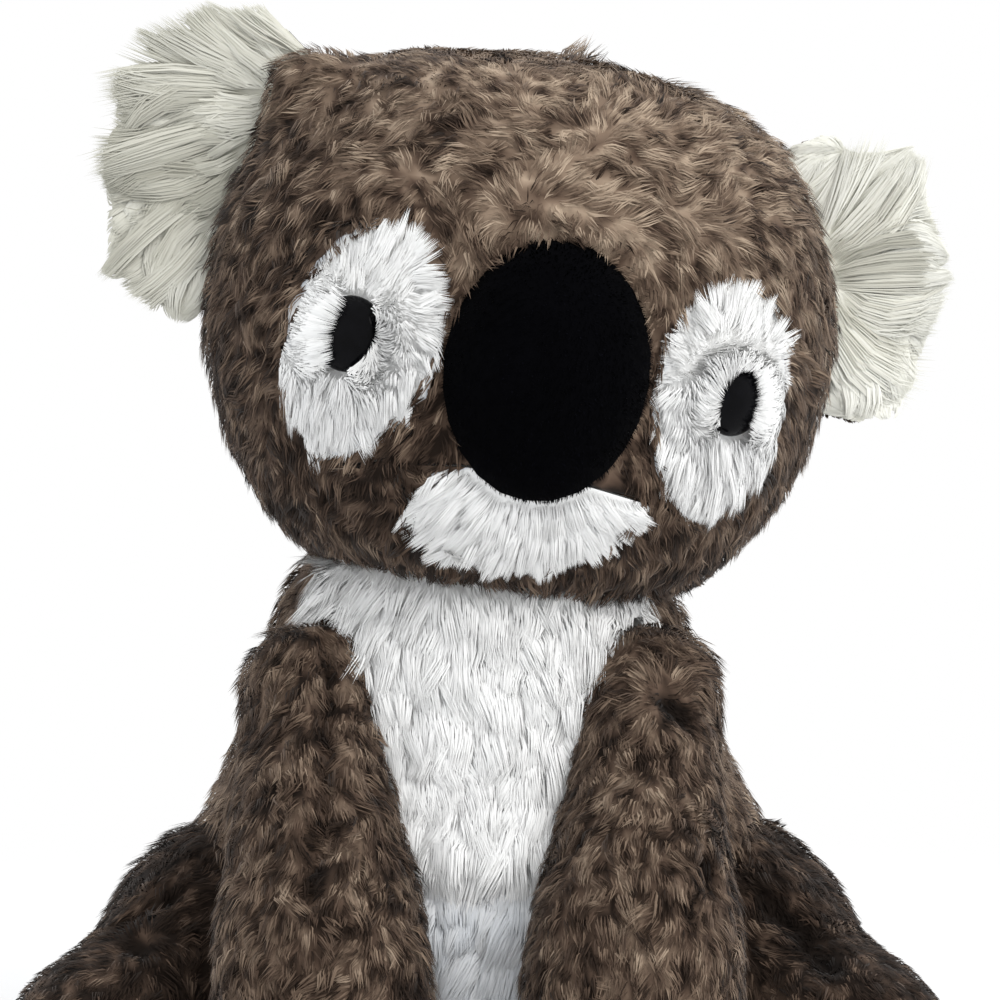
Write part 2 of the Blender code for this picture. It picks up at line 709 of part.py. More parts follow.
def build_limb(word, side, kind):
    """One arm or leg: a bag cut to the body, open at its root, with its fill."""
    if kind == "arm":
        place, pose = shoulder(side), (-ARM_REACH, side * ARM_TUCK, 0.0)
        radius, opening = ARM_ROOT_RADIUS, ARM_OPENING_RADIUS
        rings = limb_rings(
            radius, ARM_BALL_ANGLES, ARM_LENGTH, ARM_HALF_WIDTH, ARM_HALF_DEPTH, ARM_BOW, ARM_SHARES
        )
    else:
        splay = RIGHT_LEG_SPLAY if side > 0 else -LEFT_LEG_SPLAY
        place, pose = hip(side), (-LEG_DROOP, 0.0, splay)
        radius, opening = LEG_ROOT_RADIUS, LEG_OPENING_RADIUS
        rings = limb_rings(
            radius, LEG_BALL_ANGLES, LEG_LENGTH, LEG_HALF_WIDTH, LEG_HALF_WIDTH, 0.0, LEG_SHARES
        )
    carrier = pivot(f"{kind}_pivot_{word}", place)
    options = {"parent": carrier, "turn": pose}
    inside = soft_form(f"{kind}_inside_{word}", rings, LIMB_INNER_SEGMENTS, inset=PLUSH_THICKNESS, **options)
    skin = soft_form(f"{kind}_skin_{word}", rings, LIMB_SEGMENTS, material=PLUSH, **options)
    fill_inset = PLUSH_THICKNESS + STUFFING_GAP
    fill = soft_form(
        f"{kind}_stuffing_{word}", rings, LIMB_INNER_SEGMENTS, inset=fill_inset, material=FILL, **options
    )
    root_hole = rod(f"{kind}_opening_{word}", opening, 0.0, radius + STUFFING_GAP * 4, 20, **options)
    boolean(skin, KEEP_OFF[kind, "outer"])
    if kind == "arm":
        boolean(inside, KEEP_OFF[kind, "inner"])
        boolean(fill, KEEP_OFF[kind, "fill"])
    else:
        boolean(inside, FLOORS["inner"])
        boolean(fill, FLOORS["fill"])
        boolean(skin, FLOORS["outer"])
    boolean(skin, inside)
    boolean(skin, root_hole)
    if kind == "leg":
        build_sole(word, skin, inside, rings, options)


def build_sole(word, skin, inside, rings, options):
    """The black velour pad set into the end of a foot."""
    middle = -LEG_LENGTH * 0.8
    end = -LEG_LENGTH - CUT_OVERRUN
    hole = rod(f"sole_hole_{word}", SOLE_PAD_RADIUS + SEAM_GAP, end, middle, 16, **options)
    keep = rod(f"sole_keep_{word}", SOLE_PAD_RADIUS, end, middle, 16, **options)
    boolean(skin, hole)
    pad = soft_form(f"foot_pad_{word}", rings, LIMB_SEGMENTS, material=VELOUR, **options)
    boolean(pad, inside)
    boolean(pad, keep, "INTERSECT")


def body_cut(kind, tag, depth):
    """The body's form grown by a clearance and a depth into the limb, less the room of the limb's ball."""
    radius, middle = (ARM_ROOT_RADIUS, shoulder) if kind == "arm" else (LEG_ROOT_RADIUS, hip)
    form = soft_form(
        f"body_keep_off_{kind}_{tag}",
        body_rings(),
        INNER_SEGMENTS,
        inset=-BODY_CLEARANCE - depth,
    )
    ball = radius + JOINT_GAP / 2 - depth
    for word, side in SIDES:
        boolean(form, ellipsoid(f"{kind}_ball_spared_{tag}_{word}", (ball, ball, ball), middle(side), 15, 9))
    return form


FACE_SAMPLES = face_samples()
FLOORS = {
    "outer": floor_cutter("floor_outer", 0.0),
    "inner": floor_cutter("floor_inner", PLUSH_THICKNESS),
    "fill": floor_cutter("floor_fill", PLUSH_THICKNESS + STUFFING_GAP),
}
KEEP_OFF = {
    ("arm", "outer"): body_cut("arm", "outer", 0.0),
    ("arm", "inner"): body_cut("arm", "inner", PLUSH_THICKNESS),
    ("arm", "fill"): body_cut("arm", "fill", PLUSH_THICKNESS + STUFFING_GAP),
    ("leg", "outer"): body_cut("leg", "outer", 0.0),
}
build_body()
build_neck()
build_head()
for side_word, side_sign in SIDES:
    build_limb(side_word, side_sign, "arm")
    build_limb(side_word, side_sign, "leg")
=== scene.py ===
"""A seated plush koala, dressed in fur.

Every furry piece is a copy of its sewn skin, rounded and creased, with a pile of real strands planted on its
outer side. One strand is modelled for each cut of pile and then copied over the skin. The eyes are polished
domes, the nose and soles are short velour, and what lies inside keeps its own plain cloth and fill.
"""

import json
import logging
import math
from collections.abc import Callable
from dataclasses import dataclass, field, replace
from enum import Enum

import bpy
import numpy as np
from mathutils import Euler, Matrix, Vector, kdtree, noise
from mathutils.bvhtree import BVHTree


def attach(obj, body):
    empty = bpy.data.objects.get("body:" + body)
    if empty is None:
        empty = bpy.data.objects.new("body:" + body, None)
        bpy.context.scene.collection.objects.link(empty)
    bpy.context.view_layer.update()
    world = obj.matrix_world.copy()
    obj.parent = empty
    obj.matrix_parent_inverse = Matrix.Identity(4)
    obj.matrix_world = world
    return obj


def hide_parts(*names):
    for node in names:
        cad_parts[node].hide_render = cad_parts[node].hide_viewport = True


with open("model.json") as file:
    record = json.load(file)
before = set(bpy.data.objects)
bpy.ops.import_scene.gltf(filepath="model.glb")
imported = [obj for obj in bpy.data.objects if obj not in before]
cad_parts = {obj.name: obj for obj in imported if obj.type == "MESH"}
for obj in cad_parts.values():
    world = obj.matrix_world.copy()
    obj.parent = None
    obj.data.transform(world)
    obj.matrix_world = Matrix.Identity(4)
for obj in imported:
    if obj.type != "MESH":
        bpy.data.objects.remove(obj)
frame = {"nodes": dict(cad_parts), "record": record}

logging.basicConfig(level=logging.INFO, format="%(levelname)s %(message)s")
LOG = logging.getLogger("koala")

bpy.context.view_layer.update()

Colour = tuple[float, float, float]
Rows = np.ndarray
Comb = Callable[[Rows, Rows], Rows]
Tone = Callable[[Rows], Rows]


class Side(Enum):
    """The viewer's left or right."""

    LEFT = -1
    RIGHT = 1

    @property
    def word(self) -> str:
        """The side's word in node names."""
        return self.name.lower()


class Cut(Enum):
    """How a pile is cut: number of rings along one strand."""

    FUZZ = 1
    LOCK = 3


# ---------------------------------------------------------------- small tools


def unit(rows: Rows) -> Rows:
    """Rows scaled to length one."""
    return rows / np.maximum(np.linalg.norm(rows, axis=1, keepdims=True), 1e-9)


def along_cloth(rows: Rows, normals: Rows) -> Rows:
    """Directions laid flat on the cloth.

    Args:
        rows: Wanted directions.
        normals: Outward directions of the cloth at the same places.

    Returns:
        Unit directions square to the normals.
    """
    return unit(rows - normals * np.sum(rows * normals, axis=1, keepdims=True))


def turned(rows: Rows, axes: Rows, angles: Rows) -> Rows:
    """Rows turned about unit axes that are square to them.

    Args:
        rows: Directions.
        axes: Unit axes, one a row.
        angles: Radians, one a row.

    Returns:
        The turned directions.
    """
    return rows * np.cos(angles)[:, None] + np.cross(axes, rows) * np.sin(angles)[:, None]


def swirl(points: Rows, size: float, seed: int) -> Rows:
    """Smooth random values from -1 to 1 in three columns.

    Args:
        points: Places in metres.
        size: Metres over which the values change.
        seed: Shifts the pattern.

    Returns:
        Three values a row.
    """
    shift = Vector((seed * 7.3, seed * 3.1, seed * 5.7))
    return np.array([noise.noise_vector(Vector(p) / size + shift) for p in points]).reshape(-1, 3)


def melange(points: Rows, depth: float) -> Rows:
    """Mottling of a pile whose yarns are dark and pale.

    Args:
        points: Places in metres.
        depth: How far the shade moves.

    Returns:
        Shade to add, one a row.
    """
    blotch = swirl(points, 0.0042, 61)[:, 0] + 0.8 * swirl(points, 0.0020, 62)[:, 1]
    return depth * (blotch - 0.6 * np.maximum(-blotch - 0.12, 0))


def select_only(obj: bpy.types.Object) -> None:
    """Selects one object and makes it active."""
    bpy.ops.object.select_all(action="DESELECT")
    obj.select_set(True)
    bpy.context.view_layer.objects.active = obj


def mesh_rows(mesh: bpy.types.Mesh) -> tuple[Rows, Rows]:
    """Vertices and triangles of a mesh of triangles.

    Args:
        mesh: A mesh with three corners to each face.

    Returns:
        Vertex rows and index rows.
    """
    points = np.empty(len(mesh.vertices) * 3, np.float64)
    mesh.vertices.foreach_get("co", points)
    corners = np.empty(len(mesh.loops), np.int64)
    mesh.loops.foreach_get("vertex_index", corners)
    return points.reshape(-1, 3), corners.reshape(-1, 3)


def mesh_object(name: str, points: Rows, faces: Rows, corner_uv: Rows, corner_nap: Rows) -> bpy.types.Object:
    """A mesh object from rows.

    Args:
        name: Its name.
        points: Vertex rows.
        faces: Index rows of triangles.
        corner_uv: Two values a corner for the bake map.
        corner_nap: Direction in which each corner takes the light.

    Returns:
        The linked object.
    """
    mesh = bpy.data.meshes.new(name)
    mesh.vertices.add(len(points))
    mesh.vertices.foreach_set("co", np.asarray(points, np.float32).ravel())
    mesh.loops.add(len(faces) * 3)
    mesh.loops.foreach_set("vertex_index", np.asarray(faces, np.int32).ravel())
    mesh.polygons.add(len(faces))
    mesh.polygons.foreach_set("loop_start", np.arange(0, len(faces) * 3, 3, dtype=np.int32))
    layer = mesh.uv_layers.new(name="OFBake")
    layer.data.foreach_set("uv", np.asarray(corner_uv, np.float32).ravel())
    mesh.update(calc_edges=True)
    mesh.validate()
    mesh.normals_split_custom_set(corner_nap.tolist())
    obj = bpy.data.objects.new(name, mesh)
    bpy.context.scene.collection.objects.link(obj)
    return obj


# ---------------------------------------------------------------- finishes


@dataclass(frozen=True)
class PileFinish:
    """Colour of a pile, across its strands and along each of them, with painted light where the roots are set paler
    than the tips.
    """

    name: str
    shades: tuple[tuple[float, Colour], ...]
    # root and tip scale the colour from root to tip; a root above the tip is painted light that lifts the shade deep
    # in the pile.
    root: float
    tip: float
    tipping: float = 0.0
    roughness: float = 0.9
    gloss: float = 0.08
    sheen: float = 0.1
    soft: float = 0.94
    streak: float = 0.02

    def material(self) -> bpy.types.Material:
        """The material, which reads only the pile's own map."""
        found = bpy.data.materials.get(self.name)
        if found:
            return found
        made = bpy.data.materials.new(self.name)
        made.use_nodes = True
        tree = made.node_tree
        shader = tree.nodes["Principled BSDF"]
        where = tree.nodes.new("ShaderNodeUVMap")
        where.uv_map = "OFBake"
        split = tree.nodes.new("ShaderNodeSeparateXYZ")
        frost = tree.nodes.new("ShaderNodeMath")
        frost.operation = "MULTIPLY_ADD"
        frost.inputs[1].default_value = self.tipping
        ramp = tree.nodes.new("ShaderNodeValToRGB")
        while len(ramp.color_ramp.elements) > 1:
            ramp.color_ramp.elements.remove(ramp.color_ramp.elements[-1])
        for index, (place, colour) in enumerate(self.shades):
            stop = ramp.color_ramp.elements[0] if index == 0 else ramp.color_ramp.elements.new(place)
            stop.position = place
            stop.color = (*colour, 1.0)
        # Painted light: when root is above tip, the colour is scaled up towards the roots, where the pile shades
        # itself.
        depth = tree.nodes.new("ShaderNodeMapRange")
        depth.inputs["From Max"].default_value = 0.75
        depth.inputs["To Min"].default_value = self.root
        depth.inputs["To Max"].default_value = self.tip
        blend = tree.nodes.new("ShaderNodeMix")
        blend.data_type = "RGBA"
        blend.blend_type = "MULTIPLY"
        blend.inputs["Factor"].default_value = 1.0
        link = tree.links.new
        link(where.outputs["UV"], split.inputs["Vector"])
        link(split.outputs["Y"], frost.inputs[0])
        link(split.outputs["X"], frost.inputs[2])
        link(frost.outputs["Value"], ramp.inputs["Fac"])
        link(split.outputs["Y"], depth.inputs["Value"])
        link(ramp.outputs["Color"], blend.inputs["A"])
        link(depth.outputs["Result"], blend.inputs["B"])
        link(blend.outputs["Result"], shader.inputs["Base Color"])
        shader.inputs["Roughness"].default_value = self.roughness
        shader.inputs["Specular IOR Level"].default_value = self.gloss
        shader.inputs["Sheen Weight"].default_value = self.sheen
        shader.inputs["Sheen Roughness"].default_value = 0.5
        return made


@dataclass(frozen=True)
class SolidFinish:
    """A finish in the object's own space: mottled colour with a fine grain."""

    name: str
    dark: Colour
    light: Colour
    grain: float
    bump: float
    roughness: tuple[float, float] = (0.7, 0.9)
    gloss: float = 0.5
    sheen: float = 0.0
    weave: bool = False

    def material(self) -> bpy.types.Material:
        """The material, which reads Object coordinates."""
        found = bpy.data.materials.get(self.name)
        if found:
            return found
        made = bpy.data.materials.new(self.name)
        made.use_nodes = True
        tree = made.node_tree
        shader = tree.nodes["Principled BSDF"]
        where = tree.nodes.new("ShaderNodeTexCoord")
        mottle = tree.nodes.new("ShaderNodeTexNoise")
        mottle.inputs["Scale"].default_value = 0.12 / self.grain
        mottle.inputs["Detail"].default_value = 3.0
        ramp = tree.nodes.new("ShaderNodeValToRGB")
        ramp.color_ramp.elements[0].position = 0.3
        ramp.color_ramp.elements[0].color = (*self.dark, 1.0)
        ramp.color_ramp.elements[1].position = 0.7
        ramp.color_ramp.elements[1].color = (*self.light, 1.0)
        if self.weave:
            grain = tree.nodes.new("ShaderNodeTexWave")
            grain.bands_direction = "DIAGONAL"
            grain.inputs["Scale"].default_value = 0.5 / self.grain
            grain.inputs["Distortion"].default_value = 1.5
            grain_out = grain.outputs["Fac"]
        else:
            grain = tree.nodes.new("ShaderNodeTexNoise")
            grain.inputs["Scale"].default_value = 1.0 / self.grain
            grain.inputs["Detail"].default_value = 2.0
            grain_out = grain.outputs["Fac"]
        rough = tree.nodes.new("ShaderNodeMapRange")
        rough.inputs["To Min"].default_value = self.roughness[0]
        rough.inputs["To Max"].default_value = self.roughness[1]
        bump = tree.nodes.new("ShaderNodeBump")
        bump.inputs["Strength"].default_value = self.bump
        bump.inputs["Distance"].default_value = self.grain / 2
        link = tree.links.new
        for node in (mottle, grain):
            link(where.outputs["Object"], node.inputs["Vector"])
        link(mottle.outputs["Fac"], ramp.inputs["Fac"])
        link(ramp.outputs["Color"], shader.inputs["Base Color"])
        link(mottle.outputs["Fac"], rough.inputs["Value"])
        link(rough.outputs["Result"], shader.inputs["Roughness"])
        link(grain_out, bump.inputs["Height"])
        link(bump.outputs["Normal"], shader.inputs["Normal"])
        shader.inputs["Specular IOR Level"].default_value = self.gloss
        shader.inputs["Sheen Weight"].default_value = self.sheen
        return made


# Stops below 0.12 are reached only by the painted shade of creases; root=1.15 is painted light deep in the pile.
BROWN_PILE = PileFinish(
    "brown_pile",
    ((0.0, (0.006, 0.004, 0.003)), (0.12, (0.016, 0.010, 0.007)), (0.35, (0.086, 0.056, 0.040)),
     (0.62, (0.198, 0.141, 0.101)), (1.0, (0.460, 0.357, 0.264))),
    root=1.15, tip=1.0, tipping=0.06,
)
# The bluish grey stop at 0.08 carries the painted shade of the belly's lower part.
WHITE_PILE = PileFinish(
    "white_pile",
    ((0.0, (0.075, 0.050, 0.036)), (0.04, (0.110, 0.075, 0.055)), (0.08, (0.62, 0.65, 0.69)),
     (0.45, (0.90, 0.90, 0.895)), (1.0, (0.975, 0.975, 0.965))),
    root=1.04, tip=1.0,
)
CREAM_PILE = PileFinish(
    "cream_locks",
    ((0.0, (0.30, 0.29, 0.24)), (0.25, (0.47, 0.46, 0.39)), (0.5, (0.72, 0.71, 0.63)),
     (0.75, (0.86, 0.855, 0.785)), (1.0, (0.92, 0.915, 0.855))),
    root=1.15, tip=1.0, tipping=0.05,
)
BLACK_VELOUR = PileFinish(
    "black_velour_pile",
    ((0.0, (0.0012, 0.0012, 0.0016)), (0.6, (0.0020, 0.0020, 0.0028)), (1.0, (0.0045, 0.0045, 0.0070))),
    root=0.8, tip=1.2, gloss=0.01, sheen=0.01,
)
EYE_PLASTIC = SolidFinish(
    "polished_black_plastic", (0.0015, 0.0015, 0.002), (0.003, 0.003, 0.004), grain=0.0004, bump=0.01,
    roughness=(0.06, 0.12), gloss=0.07,
)
FILL = SolidFinish("carded_fill", (0.62, 0.62, 0.60), (0.86, 0.86, 0.84), grain=0.0012, bump=0.6, sheen=0.3)
CALICO = SolidFinish("calico", (0.46, 0.41, 0.33), (0.60, 0.55, 0.46), grain=0.0006, bump=0.4, weave=True)
WASHER = SolidFinish("clear_washer", (0.58, 0.58, 0.56), (0.72, 0.72, 0.70), grain=0.0008, bump=0.08,
                     roughness=(0.3, 0.45))


# ---------------------------------------------------------------- pile


@dataclass(frozen=True)
class Strand:
    """One strand of a cut, modelled along +Z with length and half width one."""

    points: Rows
    faces: Rows

    @staticmethod
    def of(cut: Cut) -> "Strand":
        """Models a strand.

        Args:
            cut: Which cut it is for.

        Returns:
            The strand's rows.
        """
        bpy.ops.object.select_all(action="DESELECT")
        if cut is Cut.FUZZ:
            bpy.ops.mesh.primitive_cone_add(vertices=3, radius1=1.0, depth=0.55, end_fill_type="TRIFAN",
                                            location=(0.0, 0.0, 0.725))
        else:
            bpy.ops.mesh.primitive_cylinder_add(vertices=3, radius=1.0, depth=0.5, end_fill_type="TRIFAN",
                                                location=(0.0, 0.0, 0.5))
        obj = bpy.context.object
        bpy.ops.object.transform_apply(location=True, rotation=False, scale=False)
        bpy.ops.object.mode_set(mode="EDIT")
        if cut is Cut.LOCK:
            bpy.ops.mesh.select_all(action="SELECT")
            bpy.ops.mesh.bisect(plane_co=(0.0, 0.0, 0.5), plane_no=(0.0, 0.0, 1.0))
        bpy.ops.mesh.select_all(action="SELECT")
        bpy.ops.mesh.quads_convert_to_tris()
        bpy.ops.object.mode_set(mode="OBJECT")
        for vertex in obj.data.vertices:
            level = vertex.co.z
            if math.hypot(vertex.co.x, vertex.co.y) < 0.01:
                vertex.co.z = 0.0 if level < 0.5 else 1.0
            elif cut is Cut.LOCK:
                share = 0.75 if level < 0.4 else 1.0 if level < 0.6 else 0.72
                vertex.co.x *= share
                vertex.co.y *= share
        points, faces = mesh_rows(obj.data)
        bpy.data.objects.remove(obj, do_unlink=True)
        return Strand(points, faces)


STRANDS = {cut: Strand.of(cut) for cut in Cut}


@dataclass(frozen=True)
class Pile:
    """How the strands of one cloth are cut and lie.

    Attributes:
        cut: The strand that is copied.
        length: Metres of a full strand.
        width: Metres across its widest ring.
        strands: How many are planted.
        rise: Degrees at which the root half leaves the cloth.
        lay: Degrees at which the tip stands off the cloth.
        lock: Strands that lie together.
        gather: Share by which a lock's tips come together.
        tousle: Degrees by which locks turn at random.
        uneven: Share by which lengths differ.
        curl: Share of their length by which locks bend sideways.
        flat: Thickness of a strand as a share of its width.
        loose: Degrees by which locks stand up at random.
        spread: Share by which whole locks differ in length.
    """

    cut: Cut
    length: float
    width: float
    strands: int
    rise: float = 55.0
    lay: float = 25.0
    lock: int = 9
    gather: float = 0.6
    tousle: float = 30.0
    uneven: float = 0.3
    curl: float = 0.25
    flat: float = 0.3
    loose: float = 5.0
    spread: float = 0.2


@dataclass(frozen=True)
class Crease:
    """A sewn crease or dimple on a skin, along points in metres, with painted shade in it."""

    path: tuple[tuple[float, float, float], ...]
    width: float
    depth: float
    # How far painted shade darkens the pile and cloth in the crease.
    shade: float = 0.3

    def reach(self, points: Rows) -> Rows:
        """Distance of each point from the crease.

        Args:
            points: Places in metres.

        Returns:
            Metres, one a row.
        """
        stops = np.array(self.path)
        if len(stops) == 1:
            return np.linalg.norm(points - stops[0], axis=1)
        best = np.full(len(points), 1e9)
        for start, end in zip(stops[:-1], stops[1:]):
            step = end - start
            share = np.clip((points - start) @ step / (step @ step), 0, 1)
            best = np.minimum(best, np.linalg.norm(points - start - share[:, None] * step, axis=1))
        return best

    def relief(self, points: Rows) -> Rows:
        """How far the crease moves the cloth outwards: down in its line, up beside it."""
        away = self.reach(points) / self.width
        return self.depth * (0.4 * np.exp(-((away - 2.0) ** 2)) - np.exp(-(away**2)))

    def near(self, points: Rows) -> Rows:
        """One on the crease, falling to nothing beside it."""
        return np.exp(-((self.reach(points) / self.width) ** 2))


@dataclass(frozen=True)
class Bulge:
    """A soft rise of the cloth about a point."""

    place: tuple[float, float, float]
    radius: float
    height: float

    def relief(self, points: Rows) -> Rows:
        """How far the bulge moves the cloth outwards."""
        return self.height * np.exp(-((np.linalg.norm(points - np.array(self.place), axis=1) / self.radius) ** 2))


@dataclass(frozen=True)
class Nudge:
    """A soft shift of the cloth about a point."""

    place: tuple[float, float, float]
    radius: float
    move: tuple[float, float, float]

    def shift(self, points: Rows) -> Rows:
        """How far the nudge moves each point."""
        near = np.exp(-((np.linalg.norm(points - np.array(self.place), axis=1) / self.radius) ** 2))
        return near[:, None] * np.array(self.move)


@dataclass(frozen=True)
class Spike:
    """A pointed tuft: strands whose ends come together at one point of the outline, across and up."""

    tip: tuple[float, float]
    radius: float = 0.0095
    pull: float = 0.9

    def draw(self, tips: Rows) -> Rows:
        """The strands' ends with those near the point drawn to it."""
        away = np.array(self.tip) - tips[:, [0, 2]]
        near = self.pull * np.exp(-((np.linalg.norm(away, axis=1) / self.radius) ** 2))
        drawn = tips.copy()
        drawn[:, [0, 2]] += near[:, None] * away
        return drawn


class Hold(Enum):
    """Whether an oval keeps strands out or in."""

    OUT = "out"
    IN = "in"


@dataclass(frozen=True)
class Guard:
    """An oval on the face that strands stay out of, or within.

    Attributes:
        frame: Turns places into the head's own directions.
        middle: Its middle, across and up, in the head's own directions.
        half: Half its width and height.
        ceiling: Height above which roots are free of it.
        hold: Whether it keeps strands out or in.
        tilt: Radians by which its top leans to the viewer's right.
        ragged: Metres by which locks reach over its edge.
    """

    frame: "HeadFrame"
    middle: tuple[float, float]
    half: tuple[float, float]
    ceiling: float = 1.0
    hold: Hold = Hold.OUT
    tilt: float = 0.0
    ragged: float = 0.0

    def flat(self, points: Rows) -> Rows:
        """Places in the oval's own plane, as shares of its half width and height."""
        own = self.frame.local(points)[:, [0, 2]] - self.middle
        lean_cos, lean_sin = math.cos(self.tilt), math.sin(self.tilt)
        return own @ np.array([[lean_cos, lean_sin], [-lean_sin, lean_cos]]) / self.half

    def share(self, roots: Rows, tips: Rows) -> Rows:
        """Share of each strand that keeps to its side of the oval.

        Args:
            roots: Where the strands stand.
            tips: Where they would end.

        Returns:
            Shares from 0 to 1; nothing for a strand rooted in an oval that keeps strands out.
        """
        own = self.frame.local(roots)
        front = (own[:, 1] < -0.03) & (own[:, 2] < self.ceiling)
        a = self.flat(roots)
        b = self.flat(tips) - a
        over = self.ragged * swirl(roots, 0.0035, 18)[:, 0] / np.maximum(np.linalg.norm(tips - roots, axis=1), 1e-4)
        inside = np.sum(a * a, axis=1) < 1
        qa = np.maximum(np.sum(b * b, axis=1), 1e-12)
        qb = 2 * np.sum(a * b, axis=1)
        qc = np.sum(a * a, axis=1) - 1
        room = qb * qb - 4 * qa * qc
        if self.hold is Hold.IN:
            leave = (-qb + np.sqrt(np.maximum(room, 0))) / (2 * qa)
            return np.where(inside, np.clip(leave + 1.6 * over, 0.3, 1.0), 0.0)
        enter = (-qb - np.sqrt(np.maximum(room, 0))) / (2 * qa)
        enter = enter + np.maximum(2.2 * over - 0.1, 0)
        share = np.where((room > 0) & (enter > 0) & (enter < 1), enter, 1.0)
        share = np.where(inside, 0.0, share)
        return np.where(front, share, 1.0)


@dataclass(frozen=True)
class HeadFrame:
    """The head's middle and how it is rolled and turned."""

    middle: tuple[float, float, float] = (0.0095, -0.006, 0.206)
    roll: float = math.radians(9.5)
    turn: float = math.radians(8.0)

    @property
    def matrix(self) -> Rows:
        """Columns are the head's own directions."""
        return np.array(Euler((0.0, self.roll, self.turn)).to_matrix())

    def local(self, points: Rows) -> Rows:
        """Places from the head's middle along its own directions."""
        return (points - np.array(self.middle)) @ self.matrix

    def world(self, points: Rows) -> Rows:
        """Places in the part's frame."""
        return points @ self.matrix.T + np.array(self.middle)

    def aim(self, *direction: float) -> Rows:
        """A direction of the head in the part's frame."""
        return np.array(direction) @ self.matrix.T


HEAD = HeadFrame()


@dataclass(frozen=True)
class Hood:
    """Pile that rises round a domed eye and closes over its flanks.

    Attributes:
        place: The eye's middle, across and up, in the head's own directions.
        radius: The dome's radius.
        height: How far the closing tips stand off the cloth.
        opening: The oval of the eye that stays in sight.
        reach: Metres from the rim within which the pile takes part.
    """

    place: tuple[float, float]
    radius: float
    height: float
    opening: Guard
    reach: float = 0.0040

    def drape(self, roots: Rows, normals: Rows, middle: Rows, tips: Rows, loose: Rows) -> tuple[Rows, Rows]:
        """Bends the strands beside the eye up its flanks and over to the opening's edge.

        Args:
            roots: Where the strands stand.
            normals: The cloth's outward directions.
            middle: Points that each strand bends towards.
            tips: Ends.
            loose: Random metres by which tips end before the edge.

        Returns:
            New middles and tips.
        """
        frame_now = self.opening.frame
        own = frame_now.local(roots)
        flat = own[:, [0, 2]] - self.place
        far = np.linalg.norm(flat, axis=1)
        rim = far < self.radius + 0.0025
        facing = normals[rim].mean(axis=0)
        facing = facing / np.linalg.norm(facing) @ frame_now.matrix
        seat = own[rim].mean(axis=0)
        seat[[0, 2]] = self.place
        edge = self.opening.flat(roots)
        size = np.maximum(np.linalg.norm(edge, axis=1, keepdims=True), 1.0)
        target = own.copy()
        target[:, [0, 2]] = self.opening.middle + (own[:, [0, 2]] - self.opening.middle) * (
            1 / size + loose[:, None] / np.maximum(far, 0.002)[:, None])
        lift = self.height - (target[:, [0, 2]] - seat[[0, 2]]) @ facing[[0, 2]]
        target[:, 1] = seat[1] + lift / facing[1]
        covered = self.radius - np.linalg.norm(target[:, [0, 2]] - self.place, axis=1)
        near = np.exp(-((np.maximum(far - self.radius, 0) / self.reach) ** 2))
        weight = (near * np.clip(covered / 0.002, 0, 1))[:, None]
        over = roots + 1.1 * self.height * (frame_now.matrix @ facing)
        return middle + weight * (over - middle), tips + weight * (frame_now.world(target) - tips)


